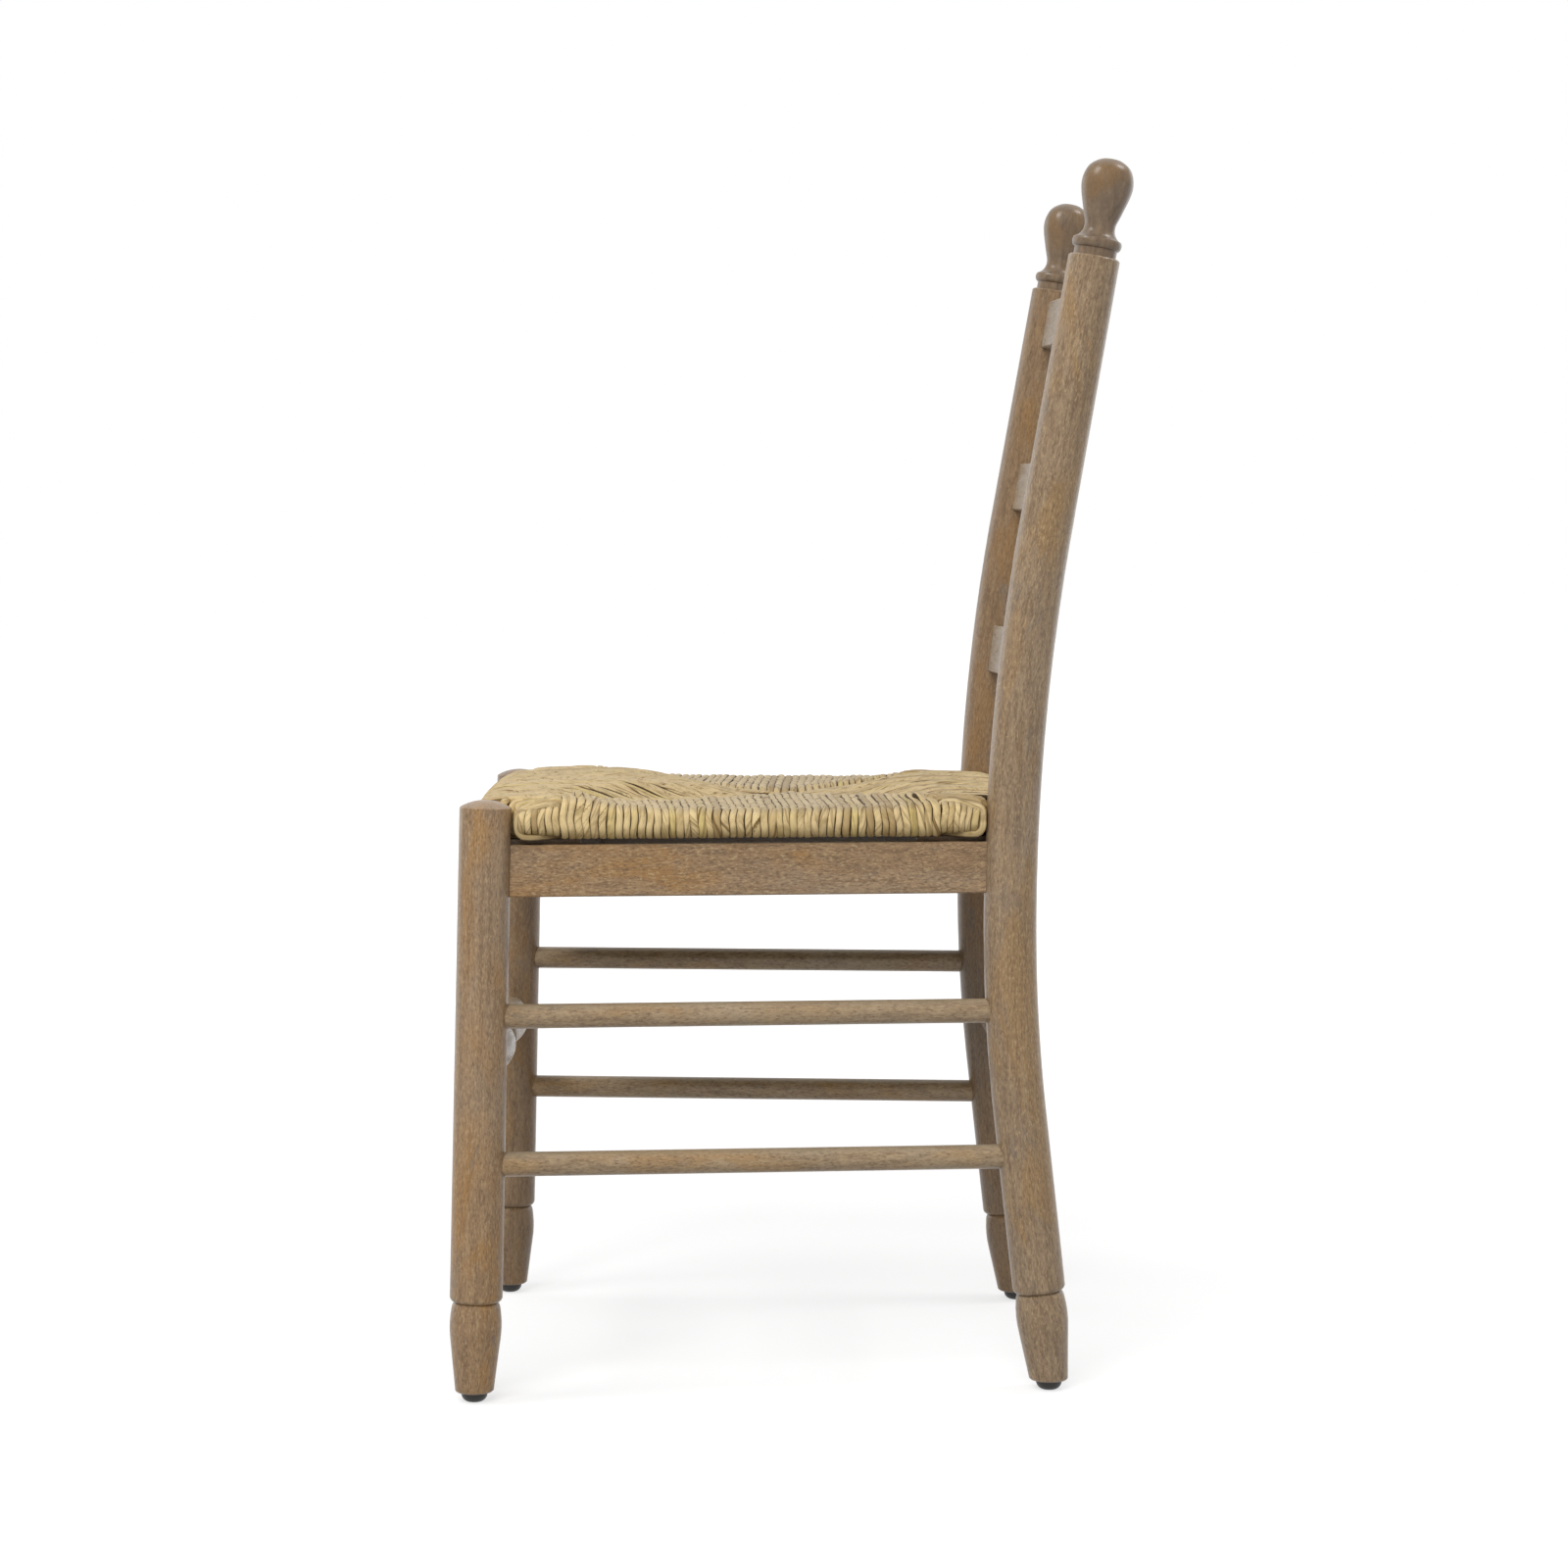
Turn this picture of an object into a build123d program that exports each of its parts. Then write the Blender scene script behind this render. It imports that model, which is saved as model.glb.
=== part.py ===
"""Ladder back dining chair with a wound rush seat, in millimetres.

The chair faces -Y, +Z is up and the floor is z = 0.  Left is the sitter's
left, which is +X.  While the pieces are made, y = 0 is the line where the
back posts stand upright; at the end all of them move so that the middle of
the chair's box is at the origin.
"""
import os
from math import asin, cos, degrees, radians, sin, tan

from build123d import *

# plan of the chair
FRONT_LEG_SPACING = 438.0
BACK_POST_SPACING = 361.0
LEG_FLOOR_REACH = 428.3
LEG_RAKE = 1.36

# front legs
LEG_RADIUS_LOW = 21.0
LEG_RADIUS_TOP = 20.5
LEG_SHOULDER = 474.5
LEG_DOME = 5.2
LEG_EDGE = 1.2

# back posts: upright at one height, bent back above and below it
POST_RADIUS = 21.2
POST_RADIUS_TOP = 20.6
POST_UPRIGHT_Z = 378.0
POST_BEND_ABOVE = 1850.0
POST_BEND_BELOW = 1400.0
POST_LEAN_ABOVE = 10.0
POST_LEAN_BELOW = 6.4
POST_SHOULDER_Z = 908.0
BEND_SECTIONS_BELOW = 4
BEND_SECTIONS_ABOVE = 6

# turned foot, the same on legs and posts, measured along their axes
GLIDE_HEIGHT = 8.0
FOOT_GROOVE = 80.0
FOOT_GROOVE_DEPTH = 3.9
FOOT_ROUND_UP = 5.0
FOOT_ROUND_BOW = 1.2
FOOT_BELLY_END = 75.4
FOOT_BELLY_TURN = 78.4
FOOT_BELLY_TURN_IN = 2.5
FOOT_BELLY_MID = 60.0
FOOT_TAPER_END = 48.5
FOOT_BELLY_IN = 0.35
FOOT_BELLY_END_IN = 1.6
FOOT_TAPER_IN = 1.2
FOOT_BASE_IN = 6.6
FOOT_BASE_EDGE = 1.2

# glides with a moulded-in nail
GLIDE_RADIUS = 10.5
GLIDE_RIM = 0.9
GLIDE_FLAT_RADIUS = 5.0
GLIDE_BOW = 1.5
NAIL_RADIUS = 1.3
NAIL_IN_GLIDE = 5.0
NAIL_IN_LEG = 17.0

# finials, heights along the post axis from its shoulder
FINIAL_NECK_RADIUS = 17.0
FINIAL_NECK_END = 6.2
FINIAL_RIM_RADIUS = 19.8
FINIAL_RIM_LOW = 6.8
FINIAL_RIM_TOP = 14.0
FINIAL_RIM_LOW_IN = 1.7
FINIAL_RIM_MID = 11.6
FINIAL_RIM_TOP_IN = 0.8
FINIAL_UNDERCUT_BOW = 0.2
FINIAL_COVE_RADIUS = 14.3
FINIAL_COVE = 17.6
FINIAL_WAIST_RADIUS = 12.25
FINIAL_WAIST = 24.3
FINIAL_PEAR = ((13.9, 31.4), (16.85, 40.7), (19.55, 50.1), (20.6, 58.0), (19.3, 65.8), (16.1, 71.9), (9.6, 76.6))
FINIAL_TOP = 78.2
SPIGOT_RADIUS = 6.5
SPIGOT_LENGTH = 24.0

# clearances
FIT = 0.1
END_GAP = 1.0
SHOULDER_GAP = 0.1

# aprons
APRON_DROP = 72.0
APRON_HEIGHT = 41.2
APRON_THICK = 18.5
APRON_OUT = 5.0
APRON_EDGE = 1.2
TENON_THICK = 8.0
TENON_HEIGHT = 29.0
TENON_FROM_AXIS = 6.5

# side and back rungs
RUNG_RADIUS = 9.75
RUNG_EDGE = 1.0
RUNG_PAST_AXIS = 3.0
UPPER_RUNG_Z = 307.5
LOWER_RUNG_Z = 189.5
CROSS_RUNG_Z = 265.5

# turned front rung, lengths from its middle
BULB_RADIUS = 18.5
BULB_MID = 70.0
BULB_END = 176.0
BULB_END_RADIUS = 8.6
BULB_WAIST = 14.0
BULB_WAIST_RADIUS = 12.0
RUNG_BEAD_HALF = 9.0
RUNG_BEAD_RADIUS = 15.5
RUNG_BEAD_FOOT_RADIUS = 11.0
FRONT_TENON_RADIUS = 8.0

# back slats
SLAT_HEIGHT = 41.4
SLAT_THICK = 10.5
SLAT_BOW = 10.0
SLAT_EDGE = 1.5
SLAT_FORWARD = 2.2
SLAT_PAST_AXIS = -9.5
TOP_SLAT_Z = 877.0
SLAT_PITCH = 143.6

# seat: frame boards and the rush wound on them
CORD = 6.2
SEAT_GAP = 3.3
SEAT_FRONT_OUT = 13.0
SEAT_SIDE_OUT = 11.0
SEAT_BACK_OUT = 11.0
BOARD_THICK = 13.8
BOARD_WIDTH = 48.0
CROSS_BOARD_EXTRA = 5.0
SEAT_FRONT_CORNER_RISE = 9.5
SEAT_BACK_CORNER_RISE = 7.0
SEAT_FRONT_RISE = 10.0
SEAT_BACK_RISE = 7.4
SEAT_CROWN_RISE = 2.2
SEAT_CROWN_AT = 78.0
SEAT_CENTRE_DIP = 1.0
SEAT_MEET = 255.0
ROLL_RADIUS = 10.0
FRONT_ROLL_RADIUS = 20.0
LEG_CLEAR = 3.0
PAD_IN = 6.0
PAD_THICK = 13.0

# corner blocks and screws
BLOCK_LEG = 62.0
BLOCK_TIP = 10.0
BLOCK_HEIGHT = 36.0
BLOCK_LEG_CLEAR = 2.0
BLOCK_SCREW_AT = 40.0
BLOCK_SCREW_IN_APRON = 13.0
BLOCK_SCREW_GRIP = 10.0
BLOCK_SCREW_UP = 18.0
SCREW_RADIUS = 2.0
SCREW_HEAD_RADIUS = 4.0
SCREW_HEAD = 2.6
SCREW_TIP = 3.0
HEAD_CLEAR = 0.5
SEAT_SCREW_AT = (18.0, 14.0)
SEAT_SCREW_SINK = 8.0
SEAT_SCREW_IN_BOARD = 16.0
FRAME_SCREW_IN = 17.0
FRAME_SCREW_NEAR = (9.0, 14.0)
FRAME_SCREW_FAR = (33.0, 42.0)

# plan values that follow from the sizes above
LEG_X = FRONT_LEG_SPACING / 2
POST_X = BACK_POST_SPACING / 2
APRON_BOTTOM = LEG_SHOULDER - APRON_DROP
SEAT_BOTTOM = APRON_BOTTOM + APRON_HEIGHT + SEAT_GAP
SEAT_TOP = SEAT_BOTTOM + BOARD_THICK + 2 * CORD
SEAT_AXIS_Z = LEG_SHOULDER
BOARD_BOTTOM = SEAT_BOTTOM + CORD
BOARD_TOP = BOARD_BOTTOM + BOARD_THICK
LAP_TOP = BOARD_TOP + CROSS_BOARD_EXTRA
APRON_MID = APRON_BOTTOM + APRON_HEIGHT / 2
FAR = 1200.0
CENTRE_MIN = (Align.CENTER, Align.CENTER, Align.MIN)
CENTRE_MAX = (Align.CENTER, Align.CENTER, Align.MAX)


def leg_axis(z):
    """Point of the left front leg's axis at a height."""
    return Vector(LEG_X, -LEG_FLOOR_REACH + z * tan(radians(LEG_RAKE)), z)


def post_lean(z):
    """Angle that the post leans back at a height, negative where it leans forward going up."""
    if z >= POST_UPRIGHT_Z:
        turn = min((z - POST_UPRIGHT_Z) / POST_BEND_ABOVE, sin(radians(POST_LEAN_ABOVE)))
        return degrees(asin(turn))
    turn = min((POST_UPRIGHT_Z - z) / POST_BEND_BELOW, sin(radians(POST_LEAN_BELOW)))
    return -degrees(asin(turn))


def post_axis(z):
    """Point of the left back post's axis at a height."""
    lean = radians(abs(post_lean(z)))
    bend = POST_BEND_ABOVE if z >= POST_UPRIGHT_Z else POST_BEND_BELOW
    past = abs(z - POST_UPRIGHT_Z) - bend * sin(lean)
    return Vector(POST_X, bend * (1 - cos(lean)) + past * tan(lean), z)


def turned(*edges):
    """Solid turned about the Z axis from a closed run of edges in the XZ plane."""
    return revolve(make_face(Wire(list(edges))), Axis.Z)


def run(*points):
    """Straight edges through points given as (radius, height)."""
    places = [(r, 0, h) for r, h in points]
    return [Line(a, b) for a, b in zip(places, places[1:])]


def bow(start, via, end):
    """One arc through three points given as (radius, height)."""
    return ThreePointArc((start[0], 0, start[1]), (via[0], 0, via[1]), (end[0], 0, end[1]))


def cap(rim, top):
    """Arc of a ball whose middle is on the axis, from a rim up to the axis."""
    rise = top - rim[1]
    ball = (rim[0] ** 2 + rise ** 2) / (2 * rise)
    half = asin(min(rim[0] / ball, 1.0)) / 2
    return bow(rim, (ball * sin(half), top - ball * (1 - cos(half))), (0.0, top))


def foot_edges(radius):
    """Outline of the turned foot from the axis at the floor to the leg above its groove."""
    base = (radius - FOOT_BASE_IN, 0.0)
    taper = (radius - FOOT_TAPER_IN, FOOT_TAPER_END)
    belly = (radius - FOOT_BELLY_IN, FOOT_BELLY_MID)
    belly_end = (radius - FOOT_BELLY_END_IN, FOOT_BELLY_END)
    turn = (radius - FOOT_BELLY_TURN_IN, FOOT_BELLY_TURN)
    groove = (radius - FOOT_GROOVE_DEPTH, FOOT_GROOVE)
    shaft = (radius, FOOT_GROOVE + FOOT_ROUND_UP)
    shoulder = (radius - FOOT_ROUND_BOW, FOOT_GROOVE + FOOT_ROUND_BOW * FOOT_ROUND_UP / FOOT_GROOVE_DEPTH)
    edges = run((0, 0), base, taper)
    edges += [bow(taper, belly, belly_end), bow(belly_end, turn, groove), bow(groove, shoulder, shaft)]
    return edges


def below(z):
    """Large block that fills everything under a height."""
    return Pos(0, 0, z) * Box(FAR, FAR, FAR, align=CENTRE_MAX)


def trim_foot(solid, x, y):
    """Saw a foot level above its glide, ease its edge and bore it for the nail."""
    solid = solid - below(GLIDE_HEIGHT)
    rim = solid.edges().filter_by_position(Axis.Z, GLIDE_HEIGHT - FIT, GLIDE_HEIGHT + FIT)
    solid = chamfer(rim, FOOT_BASE_EDGE)
    bore = Cylinder(NAIL_RADIUS + FIT, NAIL_IN_LEG + END_GAP, align=CENTRE_MIN)
    return solid - Pos(x, y, GLIDE_HEIGHT) * bore


def leg_placed(shape):
    """Stand a shape turned about Z on the left front leg's axis."""
    return Pos(*leg_axis(0)) * Rot(-LEG_RAKE, 0, 0) * shape


def leg_cylinder(grow):
    """Plain cylinder about the left front leg, larger than it by a clearance."""
    return leg_placed(Cylinder(LEG_RADIUS_LOW + grow, FAR, align=CENTRE_MIN))


def leg_cone(grow):
    """The leg's tapered shaft alone, grown by a clearance."""
    low = FOOT_GROOVE + FOOT_ROUND_UP
    shaft = run((0, low), (LEG_RADIUS_LOW + grow, low), (LEG_RADIUS_TOP + grow, LEG_SHOULDER), (0, LEG_SHOULDER))
    shaft += run((0, LEG_SHOULDER), (0, low))
    return leg_placed(turned(*shaft))


def make_leg():
    """Left front leg before its joints are cut."""
    edge = (LEG_RADIUS_TOP, LEG_SHOULDER - LEG_EDGE)
    rim = (LEG_RADIUS_TOP - LEG_EDGE, LEG_SHOULDER)
    top = (0.0, LEG_SHOULDER + LEG_DOME)
    edges = foot_edges(LEG_RADIUS_LOW)
    edges += run((LEG_RADIUS_LOW, FOOT_GROOVE + FOOT_ROUND_UP), edge, rim)
    edges.append(cap(rim, top[1]))
    edges += run(top, (0, 0))
    foot = leg_axis(GLIDE_HEIGHT)
    return trim_foot(leg_placed(turned(*edges)), foot.X, foot.Y)


POST_BEND_TOP = POST_UPRIGHT_Z + POST_BEND_ABOVE * sin(radians(POST_LEAN_ABOVE))
POST_BEND_FOOT = POST_UPRIGHT_Z - POST_BEND_BELOW * sin(radians(POST_LEAN_BELOW))


def post_frame(z):
    """Plane square to the left back post's axis at a height."""
    lean = radians(post_lean(z))
    return Plane(origin=post_axis(z), x_dir=(1, 0, 0), z_dir=(0, sin(lean), cos(lean)))


def post_straight(z, edges):
    """Turn an outline about the post's straight axis through its point at a height."""
    return post_frame(z) * turned(*edges)


def post_shaft(grow):
    """Bent part of the left back post with its straight upper end, grown by a clearance."""
    radius = POST_RADIUS + grow
    below_step = (POST_UPRIGHT_Z - POST_BEND_FOOT) / BEND_SECTIONS_BELOW
    above_step = (POST_BEND_TOP - POST_UPRIGHT_Z) / BEND_SECTIONS_ABOVE
    heights = [POST_BEND_FOOT + below_step * count for count in range(BEND_SECTIONS_BELOW)]
    heights += [POST_UPRIGHT_Z + above_step * count for count in range(BEND_SECTIONS_ABOVE + 1)]
    bent = loft([post_frame(z) * Circle(radius) for z in heights])
    rise = (POST_SHOULDER_Z - POST_BEND_TOP) / cos(radians(POST_LEAN_ABOVE))
    top = POST_RADIUS_TOP + grow
    rim = run((0, 0), (radius, 0), (top, rise - LEG_EDGE), (top - LEG_EDGE, rise), (0, rise), (0, 0))
    return bent + post_straight(POST_BEND_TOP, rim)


def make_post():
    """Left back post before its joints are cut."""
    reach = POST_BEND_FOOT / cos(radians(POST_LEAN_BELOW))
    edges = foot_edges(POST_RADIUS)
    edges += run((POST_RADIUS, FOOT_GROOVE + FOOT_ROUND_UP), (POST_RADIUS, reach), (0, reach), (0, 0))
    foot = post_axis(GLIDE_HEIGHT)
    whole = post_shaft(0.0) + post_straight(0.0, edges)
    whole = trim_foot(whole, foot.X, foot.Y)
    bore = run((0, 0), (SPIGOT_RADIUS + FIT, 0), (SPIGOT_RADIUS + FIT, -SPIGOT_LENGTH - END_GAP))
    bore += run((SPIGOT_RADIUS + FIT, -SPIGOT_LENGTH - END_GAP), (0, -SPIGOT_LENGTH - END_GAP), (0, 0))
    return whole - post_straight(POST_SHOULDER_Z, bore)


def make_finial():
    """Left finial with the spigot that is glued into the post."""
    neck_end = (FINIAL_NECK_RADIUS, FINIAL_NECK_END)
    low = (FINIAL_RIM_RADIUS - FINIAL_RIM_LOW_IN, FINIAL_RIM_LOW)
    undercut = (
        (neck_end[0] + low[0]) / 2 - FINIAL_UNDERCUT_BOW,
        (neck_end[1] + low[1]) / 2 + FINIAL_UNDERCUT_BOW,
    )
    rim = (FINIAL_RIM_RADIUS, FINIAL_RIM_MID)
    high = (FINIAL_RIM_RADIUS - FINIAL_RIM_TOP_IN, FINIAL_RIM_TOP)
    cove = (FINIAL_COVE_RADIUS, FINIAL_COVE)
    waist = (FINIAL_WAIST_RADIUS, FINIAL_WAIST)
    pear = [(r, 0, h) for r, h in (waist, *FINIAL_PEAR, (0, FINIAL_TOP))]
    edges = run((0, -SPIGOT_LENGTH), (SPIGOT_RADIUS, -SPIGOT_LENGTH), (SPIGOT_RADIUS, 0))
    edges += run((SPIGOT_RADIUS, 0), (FINIAL_NECK_RADIUS, 0), neck_end)
    edges += [bow(neck_end, undercut, low), bow(low, rim, high), bow(high, cove, waist)]
    edges.append(Spline(*pear, tangents=((0, 0, 1), (-1, 0, 0))))
    edges += run((0, FINIAL_TOP), (0, -SPIGOT_LENGTH))
    return post_straight(POST_SHOULDER_Z, edges)


def between(start, end):
    """Plane at the middle of two points, X along them and Z as near upright as it can be."""
    along = end - start
    side = Vector(0, 0, 1).cross(along)
    return Plane(origin=(start + end) * 0.5, x_dir=along, z_dir=along.cross(side))


def rod(start, end, radius, past):
    """Round rod between two axes, running past both by a length."""
    length = (end - start).length + 2 * past
    return between(start, end) * Rot(0, 90, 0) * Cylinder(radius, length)


def make_rung(start, end):
    """Plain rung and the sockets it needs."""
    solid = rod(start, end, RUNG_RADIUS, RUNG_PAST_AXIS)
    solid = chamfer(solid.edges().filter_by(GeomType.CIRCLE), RUNG_EDGE)
    return solid, rod(start, end, RUNG_RADIUS + FIT, RUNG_PAST_AXIS + END_GAP)


def make_front_rung(start, end):
    """Turned front rung with two bulbs and a bead, and the sockets it needs."""
    tip = (end - start).length / 2 + RUNG_PAST_AXIS
    foot = (BULB_END_RADIUS, BULB_END)
    waist = (BULB_WAIST_RADIUS, BULB_WAIST)
    bead = (RUNG_BEAD_FOOT_RADIUS, RUNG_BEAD_HALF)
    low_foot = (foot[0], -foot[1])
    low_waist = (waist[0], -waist[1])
    low_bead = (bead[0], -bead[1])
    edges = run((0, -tip), (FRONT_TENON_RADIUS, -tip), (FRONT_TENON_RADIUS, -LEG_X + LEG_RADIUS_LOW))
    edges += run((FRONT_TENON_RADIUS, -LEG_X + LEG_RADIUS_LOW), low_foot)
    edges.append(bow(low_foot, (BULB_RADIUS, -BULB_MID), low_waist))
    edges += run(low_waist, low_bead)
    edges.append(bow(low_bead, (RUNG_BEAD_RADIUS, 0), bead))
    edges += run(bead, waist)
    edges.append(bow(waist, (BULB_RADIUS, BULB_MID), foot))
    edges += run(foot, (FRONT_TENON_RADIUS, LEG_X - LEG_RADIUS_LOW), (FRONT_TENON_RADIUS, tip), (0, tip))
    edges += run((0, tip), (0, -tip))
    solid = between(start, end) * Rot(0, 90, 0) * turned(*edges)
    return solid, rod(start, end, FRONT_TENON_RADIUS + FIT, RUNG_PAST_AXIS + END_GAP)


def make_apron(start, end, posts):
    """Apron between two axes at its middle height, scribed to the legs, and its mortises."""
    frame = between(start, end)
    length = (end - start).length
    shift = APRON_THICK / 2 - APRON_OUT
    board = Box(length, APRON_THICK, APRON_HEIGHT)
    board = chamfer(board.edges().filter_by(Axis.X), APRON_EDGE)
    board = frame * Pos(0, shift, 0) * board
    for post in posts:
        board = board - post
    reach = length - 2 * TENON_FROM_AXIS
    tenon = frame * Box(reach, TENON_THICK, TENON_HEIGHT)
    mortise = frame * Box(reach + 2 * END_GAP, TENON_THICK + 2 * FIT, TENON_HEIGHT + 2 * FIT)
    return board + tenon, mortise


def make_slat(z):
    """Bowed slat across the posts at a height, and its mortises."""
    bend = (POST_X ** 2 + SLAT_BOW ** 2) / (2 * SLAT_BOW)
    axis = post_axis(z)
    place = Pos(0, axis.Y - SLAT_FORWARD, z) * Rot(-post_lean(z), 0, 0) * Pos(0, SLAT_BOW - bend, 0)
    solids = []
    for grow, gap in ((0.0, 0.0), (FIT, END_GAP)):
        turn = degrees(asin((POST_X + SLAT_PAST_AXIS + gap) / bend))
        outline = RectangleRounded(SLAT_THICK + 2 * grow, SLAT_HEIGHT + 2 * grow, SLAT_EDGE)
        section = Plane.YZ * Pos(bend, 0, 0) * outline
        solids.append(place * Rot(0, 0, -turn) * revolve(section, Axis.Z, 2 * turn))
    return solids


def mirrored(shape):
    """The same piece on the sitter's right."""
    return mirror(shape, about=Plane.YZ)


def side_x(y, out):
    """X of the left side line of the seat at y, moved outward by a distance."""
    front = leg_axis(SEAT_AXIS_Z)
    back = post_axis(SEAT_AXIS_Z)
    slope = (back.X - front.X) / (back.Y - front.Y)
    return front.X + slope * (y - front.Y) + out * (1 + slope ** 2) ** 0.5


def prism(points, bottom, top):
    """Straight-sided solid over a plan outline."""
    outline = make_face(Polyline(*points, close=True))
    return Pos(0, 0, bottom) * extrude(outline, top - bottom)


SEAT_FRONT = leg_axis(SEAT_AXIS_Z).Y - SEAT_FRONT_OUT
SEAT_BACK = post_axis(SEAT_AXIS_Z).Y + SEAT_BACK_OUT
SEAT_CENTRE = SEAT_FRONT + SEAT_MEET
BOARD_FRONT = SEAT_FRONT + CORD
BOARD_BACK = SEAT_BACK - CORD
BOARD_OUT = SEAT_SIDE_OUT - CORD
BOARD_IN = BOARD_OUT - BOARD_WIDTH


def make_side_board():
    """Left board of the seat frame, which runs the whole depth."""
    outer = [(side_x(y, BOARD_OUT), y) for y in (BOARD_FRONT, BOARD_BACK)]
    inner = [(side_x(y, BOARD_IN), y) for y in (BOARD_BACK, BOARD_FRONT)]
    return prism(outer + inner, BOARD_BOTTOM, BOARD_TOP)


def make_cross_board(near, far):
    """Front or back board, thick between the side boards and lapped over them at its ends."""
    lap = [(side_x(y, BOARD_OUT), y) for y in (near, far)]
    body = [(side_x(y, BOARD_IN) - FIT, y) for y in (near, far)]
    solids = []
    for pair, bottom, top in ((lap, BOARD_TOP, LAP_TOP), (body, BOARD_BOTTOM, LAP_TOP)):
        outline = pair + [(-x, y) for x, y in reversed(pair)]
        solids.append(prism(outline, bottom, top))
    return solids[0] + solids[1]


def roll_section(x, height, depth):
    """Closed section of a side of the rush across its board, at x along the board."""
    top = SEAT_TOP + height
    inside = SEAT_TOP - SEAT_CENTRE_DIP
    low = SEAT_BOTTOM
    near = ROLL_RADIUS * (1 - sin(radians(45.0)))
    places = [(ROLL_RADIUS, low), (near, low + near), (0, low + ROLL_RADIUS)]
    upper = [(0, top - ROLL_RADIUS), (near, top - near), (ROLL_RADIUS, top)]
    spot = [(x, u, z) for u, z in places]
    high = [(x, u, z) for u, z in upper]
    edges = [ThreePointArc(*spot), Line(spot[2], high[0]), ThreePointArc(*high)]
    edges.append(Line(high[2], (x, depth, inside)))
    edges.append(Line((x, depth, inside), (x, depth, low)))
    edges.append(Line((x, depth, low), spot[0]))
    return make_face(Wire(edges))


def make_rush():
    """Rush seat as one closed body, before the boards and pads inside it are taken out."""
    front = Vector(side_x(SEAT_FRONT, SEAT_SIDE_OUT), SEAT_FRONT, 0)
    back = Vector(side_x(SEAT_BACK, SEAT_SIDE_OUT), SEAT_BACK, 0)
    centre = Vector(0, SEAT_CENTRE, 0)
    frame = Plane(origin=front, x_dir=back - front, z_dir=(0, 0, 1))
    length = (back - front).length
    middle = frame.to_local_coords(centre)
    sections = [
        roll_section(0.0, SEAT_FRONT_CORNER_RISE, middle.Y),
        roll_section(middle.X, 0.0, middle.Y),
        roll_section(length, SEAT_BACK_CORNER_RISE, middle.Y),
    ]
    panel = frame * loft(sections)
    side = panel & prism([(front.X, front.Y), (back.X, back.Y), (0, SEAT_CENTRE)], 0, FAR)
    rush = side + mirrored(side)
    for edge, turn, rise in ((front, 0, SEAT_FRONT_RISE), (back, 180, SEAT_BACK_RISE)):
        rest = roll_end(abs(SEAT_CENTRE - edge.Y), rise)
        strip = Pos(0, edge.Y, 0) * Rot(0, 0, turn) * extrude(rest, edge.X, both=True)
        rush = rush + (strip & prism([(-edge.X, edge.Y), (edge.X, edge.Y), (0, SEAT_CENTRE)], 0, FAR))
    return rush


def roll_end(reach, rise):
    """Closed section of the front or back of the rush, from its edge to the middle of the seat."""
    top = SEAT_TOP + rise
    low = SEAT_BOTTOM
    near = ROLL_RADIUS * (1 - sin(radians(45.0)))
    far = FRONT_ROLL_RADIUS * (1 - sin(radians(45.0)))
    spot = [(0, ROLL_RADIUS, low), (0, near, low + near), (0, 0, low + ROLL_RADIUS)]
    high = [(0, 0, top - FRONT_ROLL_RADIUS), (0, far, top - far), (0, FRONT_ROLL_RADIUS, top)]
    inside = SEAT_TOP - SEAT_CENTRE_DIP
    crown = (0, SEAT_CROWN_AT, top + SEAT_CROWN_RISE)
    edges = [ThreePointArc(*spot), Line(spot[2], high[0]), ThreePointArc(*high)]
    edges.append(ThreePointArc(high[2], crown, (0, reach, inside)))
    edges.append(Line((0, reach, inside), (0, reach, low)))
    edges.append(Line((0, reach, low), spot[0]))
    return make_face(Wire(edges))


def make_pads():
    """Stuffing pads in the opening of the seat frame, one under each woven triangle."""
    front = BOARD_FRONT + BOARD_WIDTH
    back = BOARD_BACK - BOARD_WIDTH
    opening = [(side_x(y, BOARD_IN), y) for y in (front, back)]
    opening = make_face(Polyline(*opening, *[(-x, y) for x, y in reversed(opening)], close=True))
    a = (side_x(SEAT_FRONT, SEAT_SIDE_OUT), SEAT_FRONT)
    b = (side_x(SEAT_BACK, SEAT_SIDE_OUT), SEAT_BACK)
    c = (0, SEAT_CENTRE)
    sectors = {
        "front": ((-a[0], a[1]), a, c),
        "back": ((-b[0], b[1]), b, c),
        "left": (a, b, c),
    }
    pads = {}
    for name, sector in sectors.items():
        outline = opening & make_face(Polyline(*sector, close=True))
        outline = offset(outline, -PAD_IN)
        pads[name] = Pos(0, 0, BOARD_BOTTOM) * extrude(outline, PAD_THICK)
    pads["right"] = mirrored(pads["left"])
    return pads


def make_screw(length, grow=0.0):
    """Countersunk screw from its head's face at the origin up along Z, or the hole it needs."""
    head = SCREW_HEAD_RADIUS + grow
    shank = SCREW_RADIUS + grow
    end = length + (END_GAP if grow else 0.0)
    edges = run((0, 0), (head, 0), (shank, SCREW_HEAD), (shank, end - SCREW_TIP), (0, end), (0, 0))
    return turned(*edges)


def bore(radius, length):
    """Straight hole below a screw's head, down from the origin."""
    return Cylinder(radius, length, align=CENTRE_MAX)


def right_of(point):
    """The same point on the sitter's right."""
    return Vector(-point.X, point.Y, point.Z)


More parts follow.
